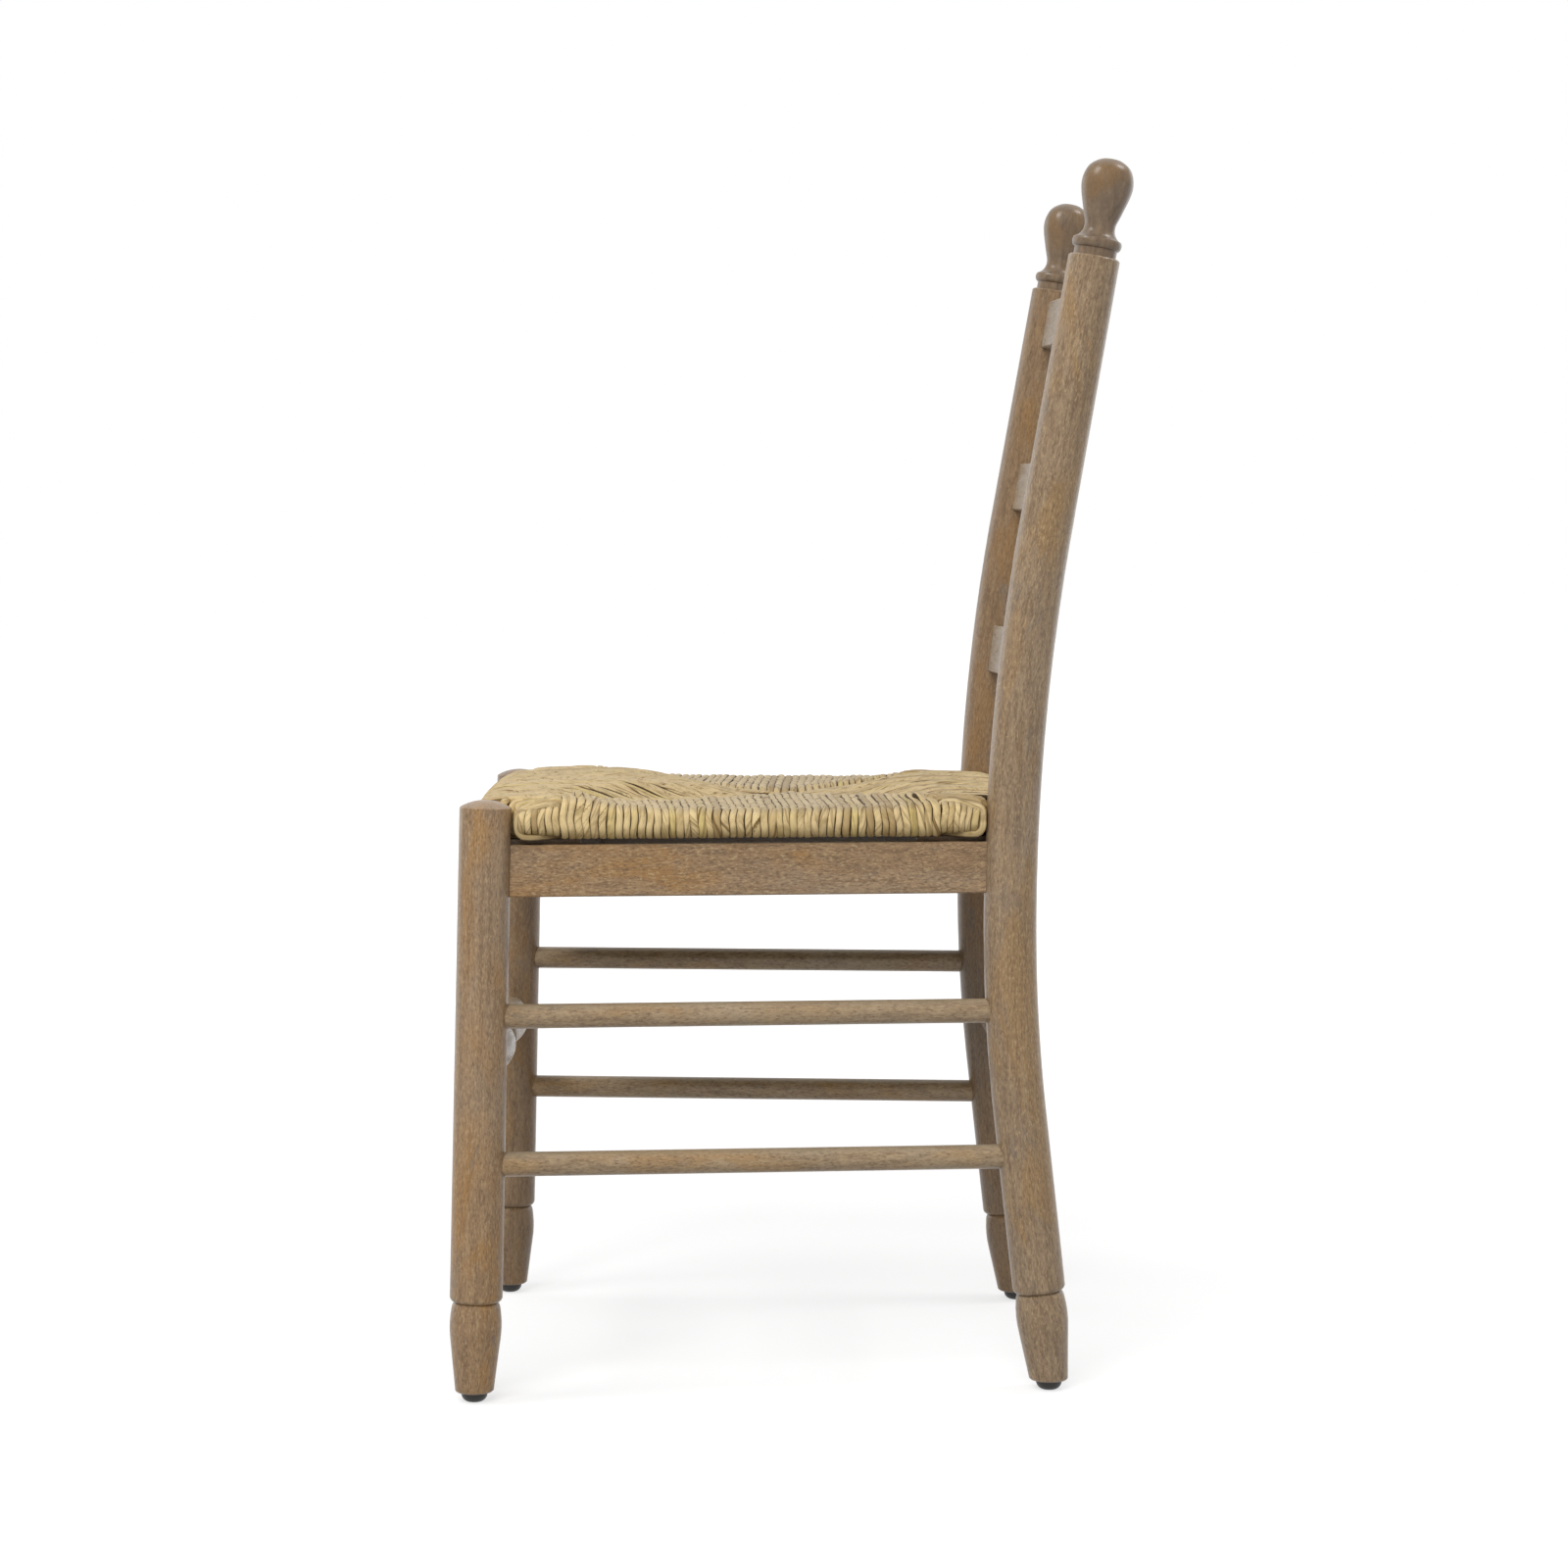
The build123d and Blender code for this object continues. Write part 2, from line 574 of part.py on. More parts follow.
def make_block(corner, along_cross, along_side, leg_solid):
    """Corner block in the corner of two aprons, with its screws and the holes they need in the aprons."""
    def spot(a, b):
        return corner + along_cross * a + along_side * b

    outline = [spot(0, 0), spot(BLOCK_LEG, 0), spot(BLOCK_LEG, BLOCK_TIP), spot(BLOCK_TIP, BLOCK_LEG)]
    outline.append(spot(0, BLOCK_LEG))
    bottom = SEAT_BOTTOM - BLOCK_HEIGHT
    block = prism([(p.X, p.Y) for p in outline], bottom, SEAT_BOTTOM) - leg_solid
    level = bottom + BLOCK_SCREW_UP
    screws = []
    holes = []
    for at, into in ((spot(BLOCK_SCREW_AT, 0), along_side), (spot(0, BLOCK_SCREW_AT), along_cross)):
        face = Vector(at.X, at.Y, level) + into * BLOCK_SCREW_GRIP
        frame = Plane(origin=face, x_dir=(0, 0, 1), z_dir=into * -1)
        length = BLOCK_SCREW_GRIP + BLOCK_SCREW_IN_APRON
        screws.append(frame * make_screw(length))
        holes.append(frame * make_screw(length, FIT))
        block = block - frame * bore(SCREW_HEAD_RADIUS + HEAD_CLEAR, BLOCK_LEG)
    place = spot(*SEAT_SCREW_AT)
    start = bottom + SEAT_SCREW_SINK
    length = BOARD_BOTTOM + SEAT_SCREW_IN_BOARD - start
    seat_screw = Pos(place.X, place.Y, start) * make_screw(length)
    seat_hole = Pos(place.X, place.Y, start) * make_screw(length, FIT)
    block = block - Pos(place.X, place.Y, start) * bore(SCREW_HEAD_RADIUS + HEAD_CLEAR, BLOCK_LEG)
    for hole in holes + [seat_hole]:
        block = block - hole
    return block, screws, holes, seat_screw, seat_hole


def flat(vector):
    """Unit vector of a direction in plan."""
    return Vector(vector.X, vector.Y, 0).normalized()


def meet(p, along_p, q, along_q):
    """Plan point where two lines cross."""
    gap = q - p
    turn = along_p.X * along_q.Y - along_p.Y * along_q.X
    reach = (gap.X * along_q.Y - gap.Y * along_q.X) / turn
    return p + along_p * reach


def make_glide(point):
    """Domed glide under a foot, and its nail."""
    rim = (GLIDE_RADIUS, GLIDE_HEIGHT - GLIDE_RIM)
    flat_edge = (GLIDE_FLAT_RADIUS, 0.0)
    bulge = (
        (GLIDE_FLAT_RADIUS + GLIDE_RADIUS) / 2 + GLIDE_BOW,
        rim[1] / 2 - GLIDE_BOW / 2,
    )
    edges = run((0, 0), flat_edge)
    edges.append(bow(flat_edge, bulge, rim))
    edges += run(rim, (GLIDE_RADIUS, GLIDE_HEIGHT), (0, GLIDE_HEIGHT), (0, 0))
    nail = Cylinder(NAIL_RADIUS, NAIL_IN_GLIDE + NAIL_IN_LEG, align=CENTRE_MIN)
    nail = chamfer(nail.edges().group_by(Axis.Z)[-1], NAIL_RADIUS / 2)
    nail = Pos(point.X, point.Y, GLIDE_HEIGHT - NAIL_IN_GLIDE) * nail
    seat = Cylinder(NAIL_RADIUS + FIT, GLIDE_HEIGHT, align=CENTRE_MIN)
    glide = Pos(point.X, point.Y, 0) * (turned(*edges) - Pos(0, 0, GLIDE_HEIGHT - NAIL_IN_GLIDE) * seat)
    return glide, nail


parts = {}

# aprons: the two mid heights on the axes, from leg to post and across
leg_cut = leg_cone(SHOULDER_GAP)
post_cut = post_shaft(SHOULDER_GAP)
leg_mid = leg_axis(APRON_MID)
post_mid = post_axis(APRON_MID)
side_apron, side_mortise = make_apron(leg_mid, post_mid, [leg_cut, post_cut])
front_apron, front_mortise = make_apron(right_of(leg_mid), leg_mid, [leg_cut, mirrored(leg_cut)])
back_apron, back_mortise = make_apron(post_mid, right_of(post_mid), [post_cut, mirrored(post_cut)])

# rungs
upper_rung, upper_socket = make_rung(leg_axis(UPPER_RUNG_Z), post_axis(UPPER_RUNG_Z))
lower_rung, lower_socket = make_rung(leg_axis(LOWER_RUNG_Z), post_axis(LOWER_RUNG_Z))
cross_leg = leg_axis(CROSS_RUNG_Z)
cross_post = post_axis(CROSS_RUNG_Z)
parts["front_rung"], front_socket = make_front_rung(right_of(cross_leg), cross_leg)
parts["back_rung"], back_socket = make_rung(right_of(cross_post), cross_post)

# slats
slat_mortises = []
for count, name in enumerate(("top_slat", "middle_slat", "lower_slat")):
    parts[name], mortise = make_slat(TOP_SLAT_Z - count * SLAT_PITCH)
    slat_mortises.append(mortise)

# legs and posts with all their joints
leg = make_leg()
for joint in (side_mortise, front_mortise, upper_socket, lower_socket, front_socket):
    leg = leg - joint
post = make_post()
for joint in (side_mortise, back_mortise, upper_socket, lower_socket, back_socket, *slat_mortises):
    post = post - joint
finial = make_finial()

# seat frame, pads and rush
clear = [leg_cylinder(LEG_CLEAR), Pos(0, 0, 0) * post_shaft(LEG_CLEAR)]
clear += [mirrored(shape) for shape in clear]
side_board = make_side_board()
front_board = make_cross_board(BOARD_FRONT, BOARD_FRONT + BOARD_WIDTH)
back_board = make_cross_board(BOARD_BACK - BOARD_WIDTH, BOARD_BACK)
rush = make_rush()
for shape in clear:
    side_board = side_board - shape
    front_board = front_board - shape
    back_board = back_board - shape
    rush = rush - shape
pads = make_pads()
for shape in [side_board, mirrored(side_board), front_board, back_board, *pads.values()]:
    rush = rush - shape

# corner blocks with their screws
apron_in = APRON_THICK - APRON_OUT
run_back = flat(post_mid - leg_mid)
inward = Vector(-run_back.Y, run_back.X, 0)
across = Vector(-1, 0, 0)
side_face = leg_mid + inward * apron_in
front_face = leg_mid + Vector(0, apron_in, 0)
back_face = post_mid - Vector(0, apron_in, 0)
front_corner = meet(front_face, across, side_face, run_back)
back_corner = meet(back_face, across, side_face, run_back)
leg_room = leg_cone(BLOCK_LEG_CLEAR)
post_room = post_shaft(BLOCK_LEG_CLEAR)
block_front, screws_front, holes_front, seat_front, bored_front = make_block(
    front_corner, across, run_back, leg_room
)
block_back, screws_back, holes_back, seat_back, bored_back = make_block(
    back_corner, across, run_back * -1, post_room
)
front_apron = front_apron - holes_front[0] - mirrored(holes_front[0])
back_apron = back_apron - holes_back[0] - mirrored(holes_back[0])
side_apron = side_apron - holes_front[1] - holes_back[1]
for bored in (bored_front, bored_back):
    side_board = side_board - bored
    rush = rush - bored - mirrored(bored)
front_board = front_board - bored_front - mirrored(bored_front)
back_board = back_board - bored_back - mirrored(bored_back)

# screws that hold the lapped corners of the seat frame
frame_screws = []
for edge, turn in ((BOARD_FRONT, 1), (BOARD_BACK, -1)):
    for inside, deep in (FRAME_SCREW_NEAR, FRAME_SCREW_FAR):
        y = edge + turn * deep
        place = Pos(side_x(y, BOARD_IN) + inside, y, BOARD_BOTTOM)
        hole = place * make_screw(FRAME_SCREW_IN, FIT)
        frame_screws.append(place * make_screw(FRAME_SCREW_IN))
        side_board = side_board - hole
        front_board = front_board - hole - mirrored(hole)
        back_board = back_board - hole - mirrored(hole)

# glides
glides = {}
nails = []
for name, point in (("front", leg_axis(GLIDE_HEIGHT)), ("back", post_axis(GLIDE_HEIGHT))):
    glides[name], nail = make_glide(point)
    nails.append(nail)

pairs = {
    "front_leg": leg,
    "back_post": post,
    "finial": finial,
    "side_apron": side_apron,
    "upper_side_rung": upper_rung,
    "lower_side_rung": lower_rung,
    "seat_frame_side": side_board,
    "corner_block_front": block_front,
    "corner_block_back": block_back,
    "glide_front": glides["front"],
    "glide_back": glides["back"],
}
for name, shape in pairs.items():
    parts[name + "_left"] = shape
    parts[name + "_right"] = mirrored(shape)
for name, shape in pads.items():
    parts["stuffing_" + name] = shape
parts["front_apron"] = front_apron
parts["back_apron"] = back_apron
parts["seat_frame_front"] = front_board
parts["seat_frame_back"] = back_board
parts["rush_seat"] = rush
groups = {
    "corner_block_screws": screws_front + screws_back,
    "seat_screws": [seat_front, seat_back],
    "seat_frame_screws": frame_screws,
    "glide_nails": nails,
}
for name, solids in groups.items():
    both = solids + [mirrored(solid) for solid in solids]
    parts[name] = Compound([solid for shape in both for solid in shape.solids()])

# middle of the chair's box on the origin
boxes = [shape.bounding_box() for shape in parts.values()]
middle = (min(box.min.Y for box in boxes) + max(box.max.Y for box in boxes)) / 2
os.makedirs("parts", exist_ok=True)
for name, shape in parts.items():
    placed = [Pos(0, -middle, 0) * solid for solid in shape.solids()]
    export_step(placed[0] if len(placed) == 1 else Compound(placed), f"parts/{name}.step")
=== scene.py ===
"""Looks of a ladder-back dining chair with a woven rush seat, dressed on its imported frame."""

import logging
import math
import random
from dataclasses import dataclass, field
from enum import Enum

import bmesh
import bpy
from mathutils import Matrix, Vector, noise


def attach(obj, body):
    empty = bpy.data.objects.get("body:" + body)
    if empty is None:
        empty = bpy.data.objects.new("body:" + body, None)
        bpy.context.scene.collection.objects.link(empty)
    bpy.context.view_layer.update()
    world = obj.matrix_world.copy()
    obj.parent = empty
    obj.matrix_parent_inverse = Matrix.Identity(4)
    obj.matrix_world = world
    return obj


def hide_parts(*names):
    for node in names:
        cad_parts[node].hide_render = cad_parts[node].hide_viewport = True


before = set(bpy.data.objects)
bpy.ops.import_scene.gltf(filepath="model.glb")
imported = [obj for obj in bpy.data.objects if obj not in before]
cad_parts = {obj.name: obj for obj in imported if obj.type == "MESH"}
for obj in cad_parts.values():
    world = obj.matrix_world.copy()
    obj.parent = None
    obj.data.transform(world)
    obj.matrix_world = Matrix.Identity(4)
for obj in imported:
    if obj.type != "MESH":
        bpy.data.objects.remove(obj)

LOG = logging.getLogger("rush_seat_chair")
MM = 0.001
BODY = "root"

Colour = tuple[float, float, float, float]
Pair = tuple[float, float]
Triple = tuple[float, float, float]
Pairs = tuple[Pair, ...]
Path = list[Pair]
Groups = tuple[tuple[float, float, int], ...]
Socket = bpy.types.NodeSocket
QUARTER = tuple(math.radians(turn) for turn in (0.0, 22.5, 45.0, 67.5, 90.0))


def paint(red: float, green: float, blue: float) -> Colour:
    """Turn a screen colour of 0 to 255 into the linear colour that shaders use.

    Args:
        red: Red share on screen.
        green: Green share on screen.
        blue: Blue share on screen.

    Returns:
        The linear colour, opaque.
    """
    shares = (share / 255.0 for share in (red, green, blue))
    linear = [s / 12.92 if s <= 0.04045 else ((s + 0.055) / 1.055) ** 2.4 for s in shares]
    return (linear[0], linear[1], linear[2], 1.0)


def eased(value: float, low: float, high: float) -> float:
    """Ease from 0 at low to 1 at high.

    Args:
        value: Where on the scale.
        low: Value that gives 0.
        high: Value that gives 1.

    Returns:
        The eased share, from 0 to 1.
    """
    share = min(1.0, max(0.0, (value - low) / (high - low)))
    return share * share * (3.0 - 2.0 * share)


def between(pairs: Pairs, at: float) -> float:
    """Read a value from a list of places and values, in a straight line between neighbours.

    Args:
        pairs: Places and values, the places rising.
        at: Place to read.

    Returns:
        The value there, or the nearest end's value outside the list.
    """
    if at <= pairs[0][0]:
        return pairs[0][1]
    for (low, first), (high, second) in zip(pairs, pairs[1:]):
        if at <= high:
            return first + (second - first) * (at - low) / (high - low)
    return pairs[-1][1]


def left_and_right(name: str) -> tuple[str, str]:
    """Names of the two nodes of a mirrored piece.

    Args:
        name: What the names start with.

    Returns:
        The left one's name and the right one's.
    """
    return (name + "_left", name + "_right")


def spline(before: float, first: float, second: float, after: float, share: float) -> float:
    """Read a smooth curve through four values in even steps, between the middle two.

    Args:
        before: Value a step before the first.
        first: Value at share 0.
        second: Value at share 1.
        after: Value a step after the second.
        share: Place between the middle two, from 0 to 1.

    Returns:
        The value there.
    """
    bend = 2.0 * before - 5.0 * first + 4.0 * second - after
    turn = 3.0 * first - before - 3.0 * second + after
    return 0.5 * (2.0 * first + (second - before) * share + bend * share ** 2 + turn * share ** 3)


def piece_from(bm: bmesh.types.BMesh, name: str, finish: bpy.types.Material) -> bpy.types.Object:
    """Turn a built shape into an object at the origin.

    Args:
        bm: The shape, freed here.
        name: Name of the mesh and of the object.
        finish: Its material.

    Returns:
        The object, linked to the scene.
    """
    mesh = bpy.data.meshes.new(name)
    bm.to_mesh(mesh)
    bm.free()
    mesh.materials.append(finish)
    piece = bpy.data.objects.new(name, mesh)
    bpy.context.scene.collection.objects.link(piece)
    return piece


class Grain(Enum):
    """Direction that a timber's grain runs in the chair, as a stretch of each axis."""

    UPRIGHT = (1.0, 1.0, 0.0)
    FORE_AND_AFT = (1.0, 0.0, 1.0)
    ACROSS = (0.0, 1.0, 1.0)

    def stretch(self, share: float) -> Triple:
        """Scale of the pattern on each axis.

        Args:
            share: Scale along the grain.

        Returns:
            The scale on X, Y and Z.
        """
        return tuple(axis if axis else share for axis in self.value)


class Side(Enum):
    """The four woven triangles of the seat."""

    FRONT = "front"
    BACK = "back"
    LEFT = "left"
    RIGHT = "right"


class Shade:
    """Node tree of one material, put together a node at a time."""

    def __init__(self, name: str) -> None:
        """Start a material with a surface shader and its output.

        Args:
            name: Name of the material.
        """
        self.material = bpy.data.materials.new(name)
        self.material.use_nodes = True
        self.tree = self.material.node_tree
        self.tree.nodes.clear()
        output = self.node("OutputMaterial")
        self.surface = self.node("BsdfPrincipled")
        self.tree.links.new(self.surface.outputs["BSDF"], output.inputs["Surface"])

    def node(self, kind: str) -> bpy.types.Node:
        """Add a shader node.

        Args:
            kind: Kind of node, as named after ShaderNode.

        Returns:
            The node.
        """
        return self.tree.nodes.new("ShaderNode" + kind)

    def feed(self, socket: Socket, source: object) -> None:
        """Link another node's output into a socket, or set the socket's own value.

        Args:
            socket: Input to fill.
            source: Output of another node, or a plain value.
        """
        if isinstance(source, Socket):
            self.tree.links.new(source, socket)
        else:
            socket.default_value = source

    def object_place(self) -> Socket:
        """Place on the piece in the chair's own frame."""
        return self.node("TexCoord").outputs["Object"]

    def attribute(self, name: str, output: str) -> Socket:
        """Value that the mesh carries under a name.

        Args:
            name: Name of the attribute.
            output: Output wanted, Vector or Fac.

        Returns:
            The output socket.
        """
        made = self.node("Attribute")
        made.attribute_name = name
        return made.outputs[output]

    def scaled(self, place: Socket, scale: Triple) -> Socket:
        """Stretch a place along its axes.

        Args:
            place: Place to stretch.
            scale: Scale on each axis.

        Returns:
            The stretched place.
        """
        made = self.node("Mapping")
        made.inputs["Scale"].default_value = scale
        self.feed(made.inputs["Vector"], place)
        return made.outputs["Vector"]

    def straightened(self, place: Socket, lean: Pairs) -> Socket:
        """Take a bent timber's fore-and-aft drift out of a place, so that the grain follows the bend.

        Args:
            place: Place on the piece.
            lean: Heights and drifts, in metres and all positive.

        Returns:
            The place on the straightened timber.
        """
        split = self.node("SeparateXYZ")
        self.feed(split.inputs["Vector"], place)
        drift = self.node("FloatCurve")
        points = drift.mapping.curves[0].points
        points[0].location = lean[0]
        points[1].location = lean[-1]
        for pair in lean[1:-1]:
            points.new(*pair)
        drift.mapping.update()
        self.feed(drift.inputs["Value"], split.outputs["Z"])
        joined = self.node("CombineXYZ")
        self.feed(joined.inputs["X"], split.outputs["X"])
        self.feed(joined.inputs["Y"], self.arithmetic("SUBTRACT", split.outputs["Y"], drift.outputs["Value"]))
        self.feed(joined.inputs["Z"], split.outputs["Z"])
        return joined.outputs["Vector"]

    def speckle(self, place: Socket, scale: float, detail: float = 2.0, rough: float = 0.5,
                warp: float = 0.0) -> Socket:
        """Soft random pattern.

        Args:
            place: Place it is read at.
            scale: Patches to a metre.
            detail: Finer layers on top of the first.
            rough: Strength of the finer layers.
            warp: How far the pattern is bent by itself.

        Returns:
            The pattern, about 0.25 to 0.75.
        """
        made = self.node("TexNoise")
        self.feed(made.inputs["Vector"], place)
        made.inputs["Scale"].default_value = scale
        made.inputs["Detail"].default_value = detail
        made.inputs["Roughness"].default_value = rough
        made.inputs["Distortion"].default_value = warp
        return made.outputs[0]

    def ramp(self, factor: Socket, *stops: tuple[float, Colour]) -> Socket:
        """Colours along a value.

        Args:
            factor: Value that picks the colour.
            stops: Values and their colours, rising.

        Returns:
            The colour.
        """
        made = self.node("ValToRGB")
        elements = made.color_ramp.elements
        for spare in range(len(stops) - 2):
            elements.new(0.5)
        for element, (at, colour) in zip(elements, stops):
            element.position = at
            element.color = colour
        self.feed(made.inputs["Fac"], factor)
        return made.outputs["Color"]

    def span(self, value: Socket, low: float, high: float, first: float = 0.0,
             last: float = 1.0) -> Socket:
        """Bring a value from one range to another, held at the ends.

        Args:
            value: Value to bring over.
            low: Start of its range.
            high: End of its range.
            first: Result at the start.
            last: Result at the end.

        Returns:
            The result.
        """
        made = self.node("MapRange")
        made.interpolation_type = "SMOOTHSTEP"
        self.feed(made.inputs["Value"], value)
        for name, number in (("From Min", low), ("From Max", high), ("To Min", first), ("To Max", last)):
            made.inputs[name].default_value = number
        return made.outputs["Result"]

    def arithmetic(self, kind: str, first: object, second: object) -> Socket:
        """One step of arithmetic on two values.

        Args:
            kind: Name of the step.
            first: First value.
            second: Second value.

        Returns:
            The result.
        """
        made = self.node("Math")
        made.operation = kind
        self.feed(made.inputs[0], first)
        self.feed(made.inputs[1], second)
        return made.outputs["Value"]

    def mix(self, share: object, first: object, second: object) -> Socket:
        """Lay one colour over another.

        Args:
            share: How much of the second shows.
            first: Colour below.
            second: Colour above.

        Returns:
            The colour.
        """
        made = self.node("Mix")
        made.data_type = "RGBA"
        self.feed(made.inputs[0], share)
        self.feed(made.inputs[6], first)
        self.feed(made.inputs[7], second)
        return made.outputs[2]

    def layered(self, colour: object, *layers: tuple[object, float, float, float, Colour]) -> Socket:
        """Lay colours over one another, each where a pattern calls for it.

        Args:
            colour: Colour below.
            layers: Pattern, its values where the layer starts and is full, the share there, and the colour.

        Returns:
            The colour.
        """
        for pattern, start, full, share, tint in layers:
            colour = self.mix(self.span(pattern, start, full, 0.0, share), colour, tint)
        return colour

    def split(self, place: Socket, axis: str) -> Socket:
        """One axis of a place.

        Args:
            place: Place to read.
            axis: X, Y or Z.

        Returns:
            The value on that axis.
        """
        made = self.node("SeparateXYZ")
        self.feed(made.inputs["Vector"], place)
        return made.outputs[axis]

    def facing_up(self) -> Socket:
        """How far the surface faces upwards, 1 for level."""
        return self.split(self.node("NewGeometry").outputs["Normal"], "Z")

    def facing_out(self) -> Socket:
        """How far the surface faces away from the chair's upright middle line, below 0 for inner faces."""
        level = self.scaled(self.node("NewGeometry").outputs["Normal"], (1.0, 1.0, 0.0))
        made = self.node("VectorMath")
        made.operation = "DOT_PRODUCT"
        self.feed(made.inputs[0], level)
        self.feed(made.inputs[1], self.object_place())
        return made.outputs["Value"]

    def relief(self, height: Socket, depth: float, strength: float) -> None:
        """Give the surface a fine relief.

        Args:
            height: Height of the relief, 0 to 1.
            depth: Depth of the relief in metres.
            strength: Strength of the relief.
        """
        made = self.node("Bump")
        made.inputs["Strength"].default_value = strength
        made.inputs["Distance"].default_value = depth
        self.feed(made.inputs["Height"], height)
        self.feed(self.surface.inputs["Normal"], made.outputs["Normal"])

    def coat(self, colour: object, roughness: object, gloss: float = 0.5) -> None:
        """Set the surface's colour, roughness and gloss.

        Args:
            colour: Colour or its socket.
            roughness: Roughness or its socket.
            gloss: Strength of the plain reflection.
        """
        self.feed(self.surface.inputs["Base Color"], colour)
        self.feed(self.surface.inputs["Roughness"], roughness)
        self.surface.inputs["Specular IOR Level"].default_value = gloss


class Finish:
    """A surface, made into a material from nodes."""

    name: str

    def shade(self, shade: Shade) -> None:
        """Put the surface's nodes together.

        Args:
            shade: Node tree to build in.
        """
        raise NotImplementedError

    def material(self) -> bpy.types.Material:
        """Make the material.

        Returns:
            The surface's material.
        """
        shade = Shade(self.name)
        self.shade(shade)
        return shade.material


@dataclass(frozen=True)
class WoodFinish(Finish):
    """Weathered, washed and lacquered timber with a fine mottled grain, painted top light where it faces up,
    and painted shade on inner faces where asked.
    """

    name: str
    grain: Grain
    dark: Colour = paint(128, 100, 70)
    body: Colour = paint(150, 120, 87)
    pale: Colour = paint(166, 137, 102)
    honey: Colour = paint(160, 120, 70)
    # Greyish wash patches of the timber; also painted top light on faces that face up.
    grey_wash_and_top_light: Colour = paint(152, 132, 111)
    pore: Colour = paint(106, 84, 60)
    spark: Colour = paint(182, 156, 118)
    smudge: Colour = paint(116, 106, 96)
    # Painted shade for inner faces.
    inner_shade: Colour = paint(46, 36, 26)
    sheen: Pair = (0.26, 0.36)
    gloss: float = 0.42
    depth: float = 0.16
    strength: float = 1.0
    # Whether inner faces get painted shade.
    shaded_inside: bool = False
    lean: Pairs = ()

    def shade(self, shade: Shade) -> None:
        """Put the timber's nodes together.

        Args:
            shade: Node tree to build in.
        """
        place = shade.object_place()
        if self.lean:
            place = shade.straightened(place, self.lean)
        broad = shade.scaled(place, self.grain.stretch(0.40))
        along = shade.scaled(place, self.grain.stretch(0.04))
        short = shade.scaled(place, self.grain.stretch(0.15))
        streaks = shade.speckle(along, 240.0, 3.0, 0.6, 0.2)
        mottle = shade.speckle(shade.scaled(place, self.grain.stretch(0.22)), 210.0, 4.0, 0.62, 0.5)
        patches = shade.speckle(broad, 26.0, 3.0, 0.55, 0.8)
        clouds = shade.speckle(broad, 13.0, 2.0, 0.5, 0.4)
        marks = shade.speckle(shade.scaled(place, self.grain.stretch(0.45)), 58.0, 3.0, 0.6, 0.8)
        flecks = shade.speckle(short, 820.0, 2.0, 0.6)
        grit = shade.speckle(shade.scaled(place, self.grain.stretch(0.30)), 780.0, 2.0, 0.7)
        colour = shade.ramp(mottle, (0.32, self.dark), (0.50, self.body), (0.68, self.pale))
        colour = shade.layered(
            colour,
            (patches, 0.45, 0.60, 0.85, self.honey),
            (clouds, 0.48, 0.66, 0.60, self.grey_wash_and_top_light),
            (streaks, 0.50, 0.68, 0.50 * self.strength, self.dark),
            (streaks, 0.46, 0.32, 0.35 * self.strength, self.pale),
            (marks, 0.60, 0.74, 0.60, self.smudge),
            (flecks, 0.54, 0.68, 0.32 * self.strength, self.pore),
            (grit, 0.53, 0.68, 0.58 * self.strength, self.pore),
            (grit, 0.47, 0.32, 0.58 * self.strength, self.spark),
            # Painted top light: paler and greyer where the surface faces up.
            (shade.facing_up(), 0.45, 0.95, 0.50, self.grey_wash_and_top_light),
        )
        # Painted shade: inner faces darkened, for the shade inside the seat box.
        if self.shaded_inside:
            colour = shade.layered(colour, (shade.facing_out(), -0.03, -0.09, 0.85, self.inner_shade))
        shade.coat(colour, shade.span(mottle, 0.3, 0.7, *self.sheen), self.gloss)
        shade.relief(shade.span(flecks, 0.46, 0.66, 1.0, 0.0), 0.0003, self.depth)


